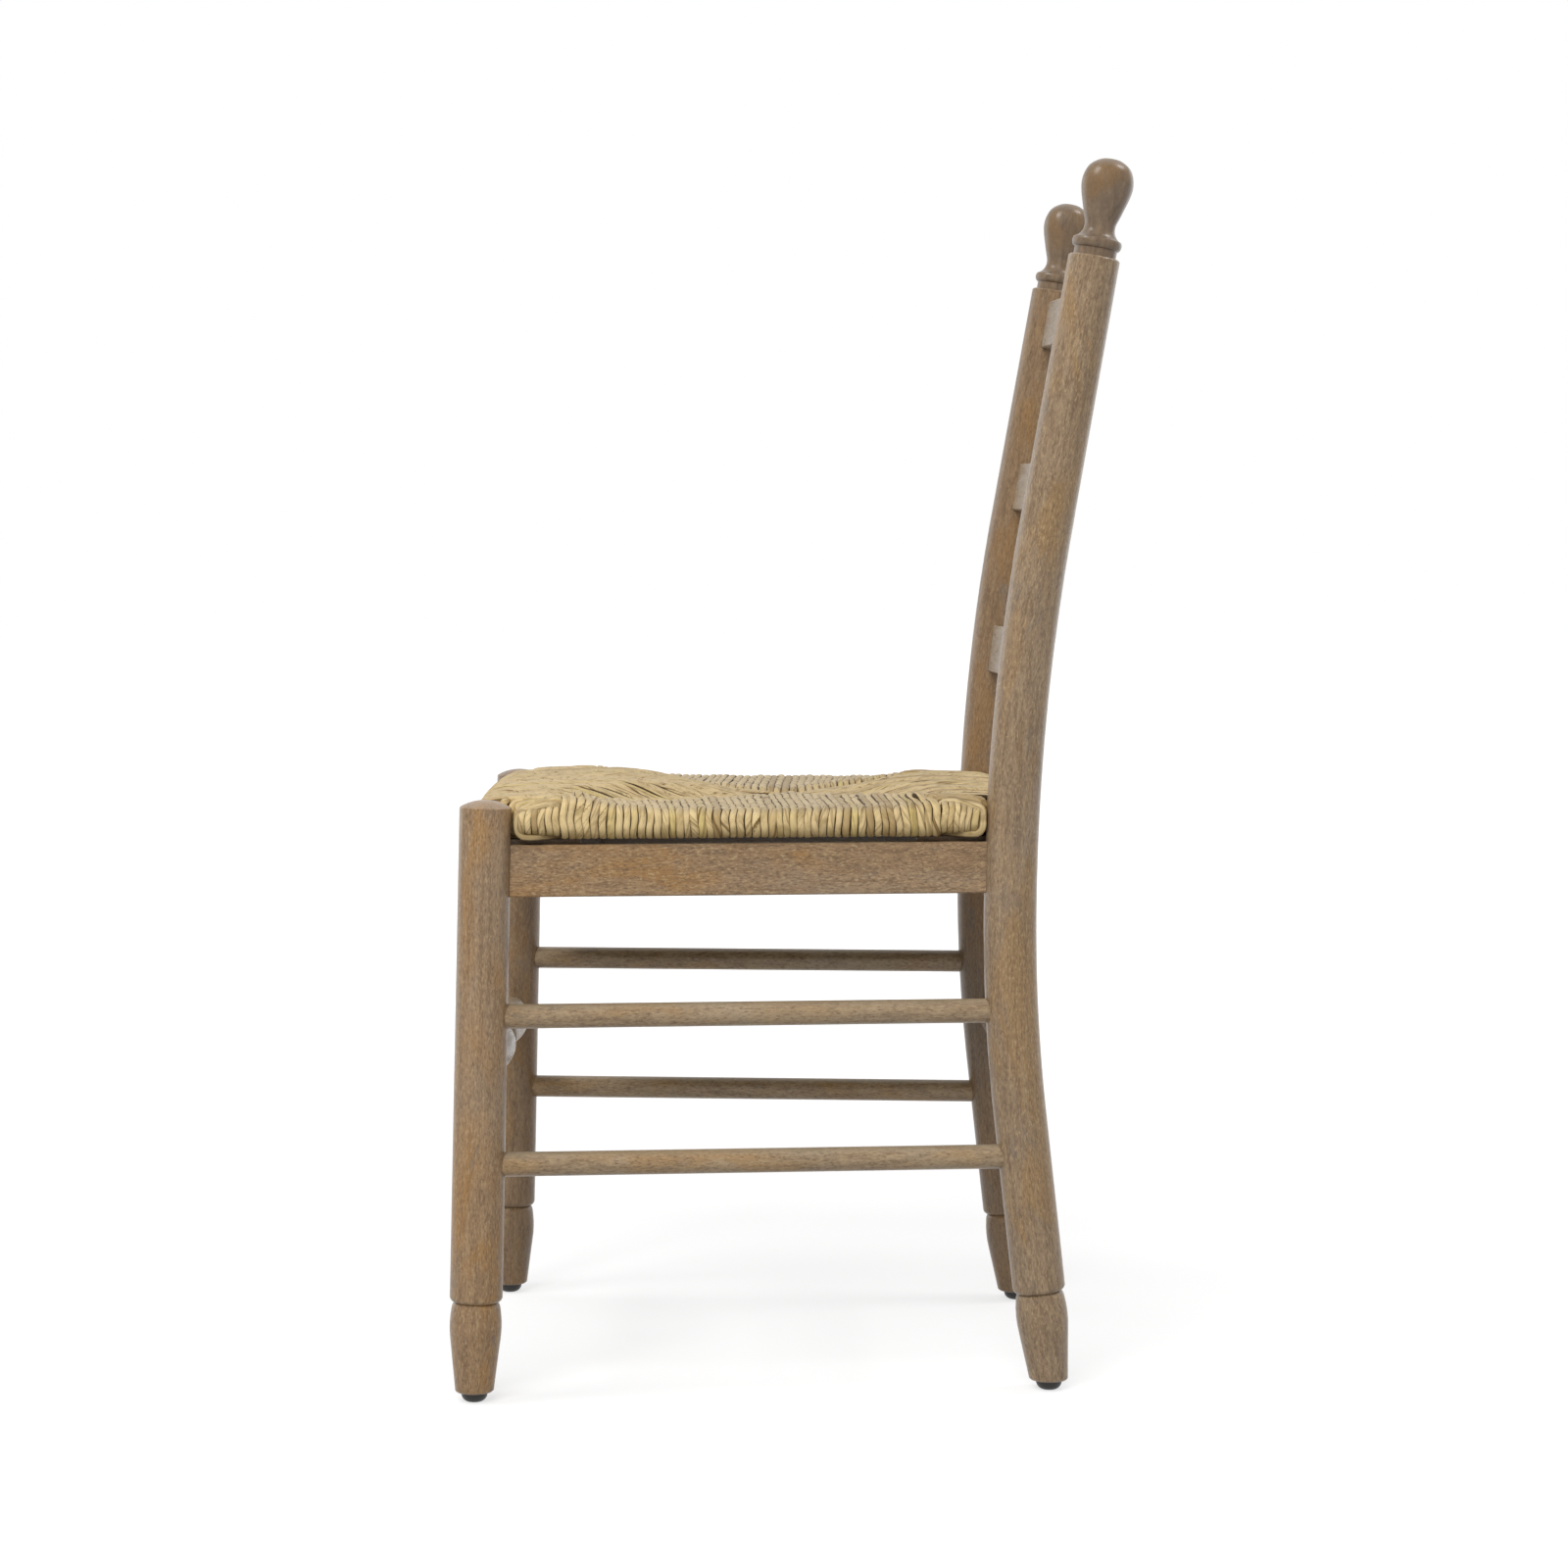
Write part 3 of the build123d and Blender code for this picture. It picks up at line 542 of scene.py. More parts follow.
@dataclass(frozen=True)
class RushFinish(Finish):
    """Dry twisted rush: khaki strands, greyed where they face up, with painted shade in the creases between
    them, towards the bottom of the seat's edge and on the undersides.
    """

    name: str = "twisted_rush"
    tones: tuple[tuple[float, Colour], ...] = (
        (0.00, paint(190, 162, 115)),
        (0.16, paint(217, 189, 136)),
        (0.50, paint(234, 208, 154)),
        (0.82, paint(222, 196, 148)),
        (0.93, paint(220, 196, 131)),
        (1.00, paint(211, 187, 114)),
    )
    stain: Colour = paint(166, 142, 94)
    bleach: Colour = paint(208, 188, 140)
    fibre: Colour = paint(140, 114, 74)
    # Painted shade in the creases between strands and where they dive under others.
    crease: Colour = paint(54, 37, 18)
    fold: Colour = paint(120, 94, 54)
    # Greyer colour laid where the strands face up.
    top_grey: Colour = paint(172, 156, 127)
    # Painted shade towards the bottom of the seat's edge.
    low: Colour = paint(126, 104, 56)
    # Painted shadow on the strands' undersides, over the gap above the aprons.
    under: Colour = paint(44, 34, 20)
    low_shade_heights: Pair = (0.4500, 0.4605)
    under_shadow_heights: Pair = (0.4472, 0.4490)
    ridge: Pair = (0.00272, 0.00312)

    def shade(self, shade: Shade) -> None:
        """Put the rush's nodes together.

        Args:
            shade: Node tree to build in.
        """
        place = shade.attribute("strand", "Vector")
        tone = shade.attribute("tone", "Fac")
        along = shade.scaled(place, (1.0, 1.0, 0.05))
        blotch = shade.speckle(place, 60.0, 3.0, 0.6)
        fibres = shade.speckle(along, 1500.0, 3.0, 0.6)
        ribs = shade.speckle(along, 620.0, 1.0, 0.5)
        height = shade.split(shade.object_place(), "Z")
        colour = shade.layered(
            shade.ramp(tone, *self.tones),
            (blotch, 0.48, 0.66, 0.70, self.stain),
            (blotch, 0.48, 0.28, 0.45, self.bleach),
            (shade.facing_up(), 0.30, 0.85, 0.62, self.top_grey),
            (tone, 0.22, 0.0, 0.26, self.fold),
        )
        # Painted shade: darker towards the bottom of the seat's edge.
        colour = shade.mix(shade.span(height, *self.low_shade_heights, 0.50, 0.0), colour, self.low)
        colour = shade.layered(colour, (fibres, 0.50, 0.70, 0.42, self.fibre))
        wound = shade.span(shade.split(place, "X"), *self.ridge)
        broken = shade.span(ribs, 0.44, 0.56)
        colour = shade.mix(shade.arithmetic("MULTIPLY", wound, broken), colour, self.fold)
        colour = shade.layered(
            colour,
            (ribs, 0.58, 0.65, 0.52, self.fold),
            # Painted shade: dark flanks between strands and dark ends where they dive.
            (shade.attribute("crease_shade", "Fac"), 0.81, 0.91, 0.98, self.crease),
        )
        # Painted shadow: the strands' undersides near-black.
        colour = shade.mix(shade.span(height, *self.under_shadow_heights, 0.88, 0.0), colour, self.under)
        shade.coat(colour, shade.span(fibres, 0.3, 0.7, 0.48, 0.64), 0.35)
        shade.relief(shade.arithmetic("ADD", fibres, ribs), 0.0006, 0.45)


@dataclass(frozen=True)
class WaddingFinish(Finish):
    """Loose straw stuffing."""

    name: str = "straw_wadding"

    def shade(self, shade: Shade) -> None:
        """Put the stuffing's nodes together.

        Args:
            shade: Node tree to build in.
        """
        place = shade.object_place()
        stalks = shade.speckle(shade.scaled(place, (1.0, 0.15, 1.0)), 420.0, 3.0, 0.6, 1.2)
        colour = shade.ramp(stalks, (0.30, paint(120, 98, 60)), (0.70, paint(190, 166, 112)))
        shade.coat(colour, 0.85, 0.2)
        shade.relief(stalks, 0.002, 0.6)


@dataclass(frozen=True)
class PlainFinish(Finish):
    """Even factory surface, such as dark moulded plastic or plated steel, with a fine grain."""

    name: str
    low: Colour
    high: Colour
    scale: float
    roughness: float
    metal: float = 0.0

    def shade(self, shade: Shade) -> None:
        """Put the surface's nodes together.

        Args:
            shade: Node tree to build in.
        """
        grain = shade.speckle(shade.object_place(), self.scale, 3.0, 0.6)
        colour = shade.ramp(grain, (0.30, self.low), (0.70, self.high))
        shade.coat(colour, shade.span(grain, 0.3, 0.7, self.roughness - 0.08, self.roughness + 0.08))
        shade.surface.inputs["Metallic"].default_value = self.metal
        shade.relief(grain, 0.0002, 0.2)


@dataclass
class Timbers:
    """The chair's rigid pieces, kept from the frame and given their finishes."""

    leg_lean: Pairs = ((0.0, 0.1), (1.0, 0.1237))
    post_lean: Pairs = (
        (0.0, 0.1336), (0.222, 0.1087), (0.300, 0.1022), (0.378, 0.1000), (0.500, 0.1040),
        (0.620, 0.1159), (0.699, 0.1281), (0.985, 0.1785), (1.0, 0.1811),
    )
    groups: dict[str, tuple[str, ...]] = field(default_factory=lambda: {
        "leg": ("front_leg_left",),
        # The right leg and post get a darker copy of the timber: painted shade.
        "shaded_leg": ("front_leg_right",),
        "post": ("back_post_left",),
        "shaded_post": ("back_post_right",),
        "finial": left_and_right("finial"),
        "side_apron": left_and_right("side_apron"),
        "cross_apron": ("front_apron", "back_apron", *left_and_right("corner_block_front"),
                        *left_and_right("corner_block_back")),
        "side": (*left_and_right("upper_side_rung"), *left_and_right("lower_side_rung")),
        "cross": ("front_rung",),
        "back_rung": ("back_rung",),
        "slat": ("top_slat", "middle_slat", "lower_slat"),
        "board_side": left_and_right("seat_frame_side"),
        "board_cross": ("seat_frame_front", "seat_frame_back"),
        "steel": ("corner_block_screws", "seat_screws", "seat_frame_screws", "glide_nails"),
        "glide": (*left_and_right("glide_front"), *left_and_right("glide_back")),
    })

    def finishes(self) -> dict[str, bpy.types.Material]:
        """Make the finish of each group.

        Returns:
            Materials by group.
        """
        pine = {"dark": paint(168, 134, 92), "body": paint(198, 166, 120), "pale": paint(214, 186, 142),
                "honey": paint(202, 160, 104), "grey_wash_and_top_light": paint(200, 178, 142), "pore": paint(150, 116, 78)}
        ash = {"dark": paint(137, 120, 102), "body": paint(158, 144, 127), "pale": paint(173, 161, 145),
               "honey": paint(159, 140, 114), "grey_wash_and_top_light": paint(167, 157, 145), "pore": paint(122, 107, 91)}
        rail = {"dark": paint(135, 112, 85), "body": paint(159, 136, 107), "pale": paint(177, 154, 124),
                "honey": paint(164, 132, 91), "grey_wash_and_top_light": paint(165, 150, 127), "strength": 1.2}
        walnut = {"dark": paint(98, 79, 59), "body": paint(115, 94, 72), "pale": paint(130, 110, 87),
                  "honey": paint(124, 95, 59), "grey_wash_and_top_light": paint(112, 101, 89), "pore": paint(86, 70, 53),
                  "spark": paint(140, 121, 96), "sheen": (0.26, 0.34), "gloss": 0.48, "depth": 0.04,
                  "strength": 0.55}
        greyed = {"dark": paint(122, 99, 74), "body": paint(144, 121, 95), "pale": paint(161, 138, 110),
                  "honey": paint(152, 121, 81), "grey_wash_and_top_light": paint(150, 134, 117), "strength": 1.2}
        # deep: a darker copy of the leg and post timber, painted shade for the right leg, the right post and
        # the back rung.
        deep = {"dark": paint(114, 89, 62), "body": paint(132, 106, 78), "pale": paint(146, 121, 91),
                "honey": paint(140, 106, 64), "grey_wash_and_top_light": paint(134, 116, 98), "pore": paint(94, 74, 53),
                "spark": paint(160, 137, 104)}
        finishes = {
            "leg": WoodFinish("leg_wood", Grain.UPRIGHT, lean=self.leg_lean, strength=1.2),
            # Painted shade: darker copies for the right leg and post.
            "shaded_leg": WoodFinish("shaded_leg_wood", Grain.UPRIGHT, lean=self.leg_lean, **deep),
            "post": WoodFinish("post_wood", Grain.UPRIGHT, lean=self.post_lean, **greyed),
            "shaded_post": WoodFinish("shaded_post_wood", Grain.UPRIGHT, lean=self.post_lean, **deep),
            "finial": WoodFinish("finial_wood", Grain.UPRIGHT, lean=self.post_lean, **walnut),
            # Aprons and corner blocks get painted shade on their inner faces.
            "side_apron": WoodFinish("apron_wood", Grain.FORE_AND_AFT, strength=1.5, shaded_inside=True),
            "cross_apron": WoodFinish("cross_apron_wood", Grain.ACROSS, shaded_inside=True),
            "side": WoodFinish("rail_wood", Grain.FORE_AND_AFT, **rail),
            "cross": WoodFinish("cross_rail_wood", Grain.ACROSS, **rail),
            # Painted shade: the back rung has the darker copy; its low gloss keeps reflections off it.
            "back_rung": WoodFinish("shaded_back_rung_wood", Grain.ACROSS, sheen=(0.5, 0.6), gloss=0.04, **deep),
            "slat": WoodFinish("slat_wood", Grain.ACROSS, **ash),
            "board_side": WoodFinish("board_side_pine", Grain.FORE_AND_AFT, **pine),
            "board_cross": WoodFinish("board_cross_pine", Grain.ACROSS, **pine),
            "steel": PlainFinish("plated_steel", paint(150, 150, 148), paint(182, 181, 176), 900.0, 0.38,
                                 metal=1.0),
            "glide": PlainFinish("dark_glide", paint(22, 20, 18), paint(36, 33, 30), 700.0, 0.42),
        }
        return {group: finish.material() for group, finish in finishes.items()}

    def dress(self) -> None:
        """Give every kept piece its finish."""
        made = self.finishes()
        for group, names in self.groups.items():
            for name in names:
                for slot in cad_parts[name].material_slots:
                    slot.material = made[group]
                LOG.info("dressed %s with %s", name, made[group].name)


@dataclass
class Strand:
    """One strand of rush, swept along its path."""

    path: list[Vector]
    across: Vector
    radius: float
    tone: float
    twist: float
    phase: float
    start: float
    seam: float
    sides: int = 14
    lobe: float = 0.05
    squash: float = 0.97
    spread: float = 1.06
    square: float = 3.0
    swell: float = 0.04
    swell_shift: float = 9.0
    swell_pitch: float = 62.0
    taper: float = 0.55
    # Lengths over which the painted shade of the diving end fades.
    buried_shade: Pair = (0.0070, 0.0115)

    def lengths(self) -> list[float]:
        """Length of strand up to each point of the path, with the part wound before it."""
        made = [self.start]
        for first, second in zip(self.path, self.path[1:]):
            made.append(made[-1] + (second - first).length)
        return made

    def frames(self) -> list[Matrix]:
        """Place and turn of the section at every point of the path.

        Returns:
            A matrix for each point, scaled to the section's size.
        """
        made = []
        last = len(self.path) - 1
        for at, (point, length) in enumerate(zip(self.path, self.lengths())):
            way = (self.path[min(at + 1, last)] - self.path[max(at - 1, 0)]).normalized()
            wide = (self.across - way * self.across.dot(way)).normalized()
            deep = way.cross(wide)
            swell = noise.noise(Vector((self.phase * self.swell_shift, length * self.swell_pitch, 0.0)))
            size = self.radius * (1.0 + self.swell * swell)
            size *= self.taper if at in (0, last) else 1.0
            columns = (wide * size * self.spread, deep * size * self.squash, way * size)
            turn = Matrix(columns).transposed().to_4x4()
            made.append(Matrix.Translation(point) @ turn)
        return made

    def mesh(self) -> bpy.types.Mesh:
        """Sweep the section along the path.

        Returns:
            The strand's mesh.
        """
        bm = bmesh.new()
        layers = (bm.verts.layers.float.new("tone"), bm.verts.layers.float.new("crease_shade"),
                  bm.verts.layers.float_vector.new("strand"))
        frames = self.frames()
        lengths = self.lengths()
        ring = bmesh.ops.create_circle(bm, cap_ends=True, segments=self.sides, radius=1.0)["verts"]
        edges = list(bm.edges)
        for vert in ring:
            vert.co *= (abs(vert.co.x) ** self.square + abs(vert.co.y) ** self.square) ** (-1.0 / self.square)
        bmesh.ops.transform(bm, matrix=frames[0], verts=ring)
        self.mark(ring, frames[0], lengths[0], lengths[-1] - lengths[0], layers)
        for at in range(1, len(frames)):
            made = bmesh.ops.extrude_edge_only(bm, edges=edges)["geom"]
            ring = [item for item in made if isinstance(item, bmesh.types.BMVert)]
            fresh = set(ring)
            edges = [item for item in made
                     if isinstance(item, bmesh.types.BMEdge) and fresh.issuperset(item.verts)]
            bmesh.ops.transform(bm, matrix=frames[at] @ frames[at - 1].inverted(), verts=ring)
            self.mark(ring, frames[at], lengths[at], lengths[-1] - lengths[at], layers)
        bmesh.ops.contextual_create(bm, geom=edges)
        self.ridge(bm, frames, layers[2])
        bmesh.ops.recalc_face_normals(bm, faces=bm.faces)
        for face in bm.faces:
            face.smooth = len(face.verts) == 4
        mesh = bpy.data.meshes.new("strand")
        bm.to_mesh(mesh)
        bm.free()
        return mesh

    def mark(self, ring: list[bmesh.types.BMVert], turn: Matrix, length: float, left: float,
             layers: tuple[object, ...]) -> None:
        """Note on a ring where it is along and around the strand.

        Args:
            ring: Vertices of the ring.
            turn: Place of the ring.
            length: Length of strand up to the ring.
            left: Length of strand from the ring to the upper end, which dives under other strands and is
                darkened there with painted shade.
            layers: Layers of the strand's tone, its painted crease shade and the place on the straightened
                strand.
        """
        back = turn.inverted()
        tone, crease_shade, strand = layers
        dive_shade = 1.0 - eased(left, *self.buried_shade)
        for vert in ring:
            local = back @ vert.co
            angle = math.atan2(local.y, local.x) + self.twist * length + self.phase
            vert[tone] = self.tone
            # Painted shade on the flanks and on the end that dives under other strands.
            vert[crease_shade] = max(dive_shade, min(1.0, abs(local.x)) * self.seam)
            vert[strand] = Vector((math.cos(angle) * self.radius, math.sin(angle) * self.radius, length))

    def ridge(self, bm: bmesh.types.BMesh, frames: list[Matrix], strand: object) -> None:
        """Raise a soft ridge that winds round the strand with its twist.

        Args:
            bm: The strand.
            frames: Places of its rings.
            strand: Layer of the place on the straightened strand.
        """
        for at, vert in enumerate(sorted(bm.verts, key=lambda v: v[strand].z)):
            middle = frames[min(at // self.sides, len(frames) - 1)].translation
            rise = 1.0 + self.lobe * vert[strand].x / self.radius
            vert.co = middle + (vert.co - middle) * rise


@dataclass(frozen=True)
class Waver:
    """How a strand strays from its row, in waves given in millimetres, and how it is twisted."""

    row: float = 58.0
    rise: float = 17.0
    turns: Pair = (7.0, 3.0)
    swing: Pair = (3.6, 2.4)
    calms: Pair = (8.0, 30.0)
    shake: Pair = (13.0, 0.32)
    heave: Pair = (26.0, 0.45)
    far: float = 90.0
    wound: float = 40.0
    tight_share: float = 0.4
    tight: Pair = (200.0, 340.0)
    loose: Pair = (60.0, 120.0)


@dataclass(frozen=True)
class SideLay:
    """How the strands of the left and right triangles lie, in millimetres."""

    groups: Groups = ((-214.6, -181.8, 6), (-181.8, 119.6, 50), (119.6, 150.2, 6))
    roll: float = 9.0
    end: float = 6.0
    step: float = 14.0
    short: float = 2.0
    lift: float = 0.8
    notch_reach: float = 15.0
    notch_lean: float = 1.0
    notch_lift: float = 3.6
    left_lean: Pair = (-5.5, 4.0)
    right_lean: float = -5.0
    lean_from: float = 2.0
    lean_starts: Pair = (-184.0, -140.0)
    lean_grows: Pair = (70.0, 118.0)
    upper: float = 464.0
    fold_base: float = 472.2
    fold_jitter: float = 0.5
    tuck_jitter: float = 0.6
    folds: Pairs = (
        (-215.0, 472.6), (-203.0, 474.6), (-182.5, 478.2), (-181.0, 482.4), (-170.0, 483.6), (-160.0, 480.4),
        (-148.0, 478.0), (-130.0, 475.2), (-100.0, 473.2), (-60.0, 472.4), (0.0, 472.2), (40.0, 472.5),
        (65.0, 472.8), (90.0, 474.4), (112.0, 477.8), (119.0, 480.0), (120.5, 477.8), (131.0, 477.0),
        (139.0, 475.4), (150.0, 473.0),
    )
    tip: Pairs = ((3.4, 0.2), (0.8, 1.5), (-0.9, 4.2), (-1.6, 8.0), (-1.8, 12.0))


@dataclass(frozen=True)
class CrossLay:
    """How the strands of the front or the back triangle lie, in millimetres."""

    groups: Groups
    tops: Pairs
    notch_tops: Pairs
    ahead: float
    rail: float
    sag: float
    slope: float
    upright: Pair
    room: float
    mitre: Pair
    roll: float = 18.0
    notch_roll: float = 8.5
    notch_drop: float = 0.4
    least: float = 14.0
    end: float = 12.0
    step: float = 13.0
    wave: float = 9.0
    wave_rise: float = 1.5
    jitter: float = 0.35
    sag_from: float = 50.0
    slope_span: Pair = (2.0, 30.0)
    slope_fades: Pair = (2.0, 44.0)
    below: float = 2.6
    sinks: Pair = (58.0, 8.0)
    upper: float = 462.0
    close: float = 2.2
    close_from: float = 22.0
    splay: float = 16.0
    splays: Pair = (12.0, 34.0)
    dive: Pairs = ((5.4, 0.5), (3.6, 1.7), (2.0, 4.2), (0.8, 8.0), (0.3, 12.0))


@dataclass(frozen=True)
class Creases:
    """How plainly the flanks of front and back strands are darkened with painted shade, 1 for fully, and
    where.
    """

    plain: float = 0.92
    edge: float = 0.87
    edge_width: float = 20.0
    notch: float = 0.84
    corner_width: float = 9.5


@dataclass
class RushSeat:
    """The woven seat: four triangles of strands over the seat frame, in millimetres."""

    side_lay: SideLay = SideLay()
    front_lay: CrossLay = CrossLay(
        groups=((-224.0, -195.2, 5), (-193.2, 193.2, 64), (195.2, 224.0, 5)),
        tops=((0.0, 480.6), (10.0, 482.0), (18.0, 483.6), (45.0, 486.2), (78.0, 487.4), (100.0, 488.2),
              (115.0, 488.0), (135.0, 486.4), (150.0, 484.2), (200.0, 476.6), (255.0, 472.5)),
        notch_tops=((195.0, 482.8), (204.0, 483.6), (211.0, 483.8), (217.0, 483.6), (222.0, 482.2)),
        ahead=1.0, rail=-254.1, sag=3.4, slope=8.5, upright=(219.0, -241.1), room=22.6, mitre=(222.0, -182.0),
    )
    back_lay: CrossLay = CrossLay(
        groups=((-190.4, -158.0, 5), (-157.4, 157.4, 52), (158.0, 190.4, 5)),
        tops=((0.0, 480.4), (18.0, 482.6), (45.0, 484.2), (70.0, 484.8), (95.0, 482.8), (130.0, 478.4),
              (165.0, 474.6), (189.0, 472.5)),
        notch_tops=((160.0, 481.6), (170.0, 481.8), (178.0, 481.6), (184.0, 481.2), (189.0, 480.2)),
        ahead=-1.0, rail=189.3, sag=2.8, slope=5.0, upright=(180.5, 178.3), room=23.2, mitre=(189.0, 118.0),
    )
    waver: Waver = Waver()
    creases: Creases = Creases()
    side_out: float = 11.05
    bottom: float = 447.0
    centre: float = 0.9
    hole: float = 9.0
    notch_least: float = 30.0
    seed: int = 41
    widths: Pair = (0.84, 1.16)
    reach_jitter: float = 1.0
    far_calm: Pair = (0.62, 0.35)
    far_rise: float = 2.8
    tuck_base: float = 472.6
    tucks: Pairs = (
        (-215.0, 473.2), (-203.0, 475.2), (-182.5, 478.8), (-181.0, 486.2), (-170.0, 487.4), (-161.0, 484.4),
        (-153.0, 481.4), (-146.0, 479.0), (-131.0, 477.2), (-118.0, 475.5), (-91.0, 473.9), (-50.0, 473.0),
        (-27.0, 472.5), (0.0, 472.6), (10.0, 473.6), (36.0, 474.2), (47.0, 475.8), (64.0, 477.6),
        (81.0, 479.2), (95.0, 481.0), (106.0, 482.4), (112.0, 484.2), (119.0, 485.4), (120.5, 478.4),
        (131.0, 477.6), (139.0, 476.0), (150.0, 473.6),
    )
    low_roll: float = 10.0
    low_least: float = 2.0
    under_ends: Pairs = ((11.0, 8.0), (3.0, 6.4), (-1.0, 2.5))
    under_in: float = 5.0
    under_step: float = 26.0
    wall_least: float = 3.0
    wall_shares: Pair = (0.33, 0.67)
    fine_step: float = 3.6
    fine_least: float = 0.4
    plain_under: Pair = (12.0, 9.0)
    pad_weld: float = 1e-5
    pad_flat: float = math.radians(3.0)
    pad_cuts: int = 3
    pad_rounds: int = 3
    pad_ease: float = 0.5

    def dice(self, side: Side) -> random.Random:
        """Source of the small unevenness of one triangle.

        Args:
            side: Which triangle.

        Returns:
            A source that draws the same numbers each time.
        """
        return random.Random(self.seed + (Side.LEFT, Side.RIGHT, Side.FRONT, Side.BACK).index(side))

    def side_x(self, y: float) -> float:
        """Distance of the seat's side from the middle line.

        Args:
            y: Place fore and aft.

        Returns:
            The distance of its outer face.
        """
        leg = self.front_lay.upright
        post = self.back_lay.upright
        share = (y - leg[1]) / (post[1] - leg[1])
        return leg[0] + (post[0] - leg[0]) * share + self.side_out

    def mitre_x(self, y: float) -> float:
        """Distance from the middle line at which a side strand dives.

        Args:
            y: Place fore and aft.

        Returns:
            The distance.
        """
        start = self.front_lay.mitre if y < self.centre else self.back_lay.mitre
        share = (y - self.centre) / (start[1] - self.centre)
        return max(self.hole, start[0] * min(1.0, max(0.0, share)))

    def mitre_y(self, x: float, lay: CrossLay) -> float:
        """Place fore and aft at which a front or back strand dives.

        Args:
            x: Distance from the middle line.
            lay: Layout of the front or the back.

        Returns:
            The place.
        """
        way = lay.mitre[1] - self.centre
        return self.centre + math.copysign(max(self.hole, abs(way) * min(1.0, abs(x) / lay.mitre[0])), way)

    def notch_y(self, x: float, lay: CrossLay) -> float:
        """Place fore and aft of the notch round a leg or post.

        Args:
            x: Distance from the middle line.
            lay: Layout of the front or the back.

        Returns:
            The place of the notch's edge.
        """
        deep = max(self.notch_least, lay.room ** 2 - (abs(x) - lay.upright[0]) ** 2)
        return lay.upright[1] + lay.ahead * math.sqrt(deep)

    def side_form(self, y: float, x: float) -> Pair:
        """How strongly the edge rolls on one side of the seat, and how much higher that side lies.

        Args:
            y: Place fore and aft.
            x: Place across, which tells the calmer right side.

        Returns:
            Share of the left side's roll, and the rise.
        """
        if x > 0.0:
            return 1.0, 0.0
        return self.far_calm[0] if y < self.centre else self.far_calm[1], self.far_rise

    def tuck(self, y: float, x: float) -> float:
        """Height at which strands dive along a mitre.

        Args:
            y: Place fore and aft.
            x: Place across, which tells the calmer right side.

        Returns:
            The height.
        """
        calm, rise = self.side_form(y, x)
        return self.tuck_base + rise + (between(self.tucks, y) - self.tuck_base) * calm

    def crease(self, x: float, side: Side, inner: float) -> float:
        """How plainly the flanks of a front or back strand are darkened with painted shade.

        Args:
            x: Place across.
            side: Front or back.
            inner: Distance from the middle line at which the notches start.

        Returns:
            The strength, 1 for fully.
        """
        if side is Side.BACK and abs(x - inner) < self.creases.corner_width:
            return 1.0
        if abs(x) > inner:
            return self.creases.notch
        return self.creases.edge if x > inner - self.creases.edge_width else self.creases.plain

    def rows(self, groups: Groups, dice: random.Random) -> Path:
        """Places of strands laid side by side in groups, thick and thin ones touching.

        Args:
            groups: Start, end and count of each group.
            dice: Source of the small unevenness.

        Returns:
            Middle and radius of each strand.
        """
        places = []
        for start, end, count in groups:
            widths = [dice.uniform(*self.widths) for each in range(count)]
            scale = (end - start) / sum(widths)
            edge = start
            for width in widths:
                places.append((edge + width * scale / 2.0, width * scale / 2.0))
                edge += width * scale
        return places

    def profile(self, roll: float, radius: float, fold: float, top: Path, reach: float, ends: Pairs,
                lift: float = 0.0) -> Path:
        """Path of a strand round its rail, as depth from the edge and height.

        Args:
            roll: Radius of the upper edge.
            radius: Radius of the strand.
            fold: Height of the upper edge.
            top: Depths and heights of the upper side, from the roll to the dive.
            reach: Depth at which the strand dives.
            ends: Last points of the upper side, as distances short of the reach and below the top.
            lift: How far the lower side is raised.

        Returns:
            Points from the lower end to the upper one.
        """
        low = min(self.low_roll, reach - self.low_least)
        base = self.bottom + lift
        floor = base + radius
        points = [(reach + past, floor + up) for past, up in self.under_ends]
        steps = max(1, int((reach - low) / self.under_step))
        start = reach - self.under_in
        way = low - reach + self.under_in
        points += [(start + way * at / (steps + 1), floor) for at in range(steps + 1)]
        inner = low - radius
        points += [(low - inner * math.sin(turn), base + low - inner * math.cos(turn)) for turn in QUARTER]
        tall = fold - roll - base - low
        if tall > self.wall_least:
            points += [(radius, base + low + tall * share) for share in self.wall_shares]
        inner = roll - radius
        points += [(roll - inner * math.cos(turn), fold - roll + inner * math.sin(turn)) for turn in QUARTER]
        points += [(depth, height - radius) for depth, height in top]
        height = top[-1][1] - radius
        points += [(reach - short, height - under) for short, under in ends]
        return points

    def finer(self, points: Path) -> Path:
        """Smooth a path with more points, except on the underside.

        Args:
            points: Depths and heights.

        Returns:
            The finer path.
        """
        points = [point for at, point in enumerate(points)
                  if not at or math.dist(point, points[at - 1]) > self.fine_least]
        made = [points[0]]
        last = len(points) - 1
        past, under = self.plain_under
        for at in range(last):
            near = [points[min(max(at + k, 0), last)] for k in (-1, 0, 1, 2)]
            first, second = near[1:3]
            parts = max(1, math.ceil(math.dist(first, second) / self.fine_step))
            if max(first[1], second[1]) < self.bottom + under and min(first[0], second[0]) > past:
                parts = 1
            for part in range(1, parts + 1):
                made.append(tuple(spline(*axis, part / parts) for axis in zip(*near)))
        return made

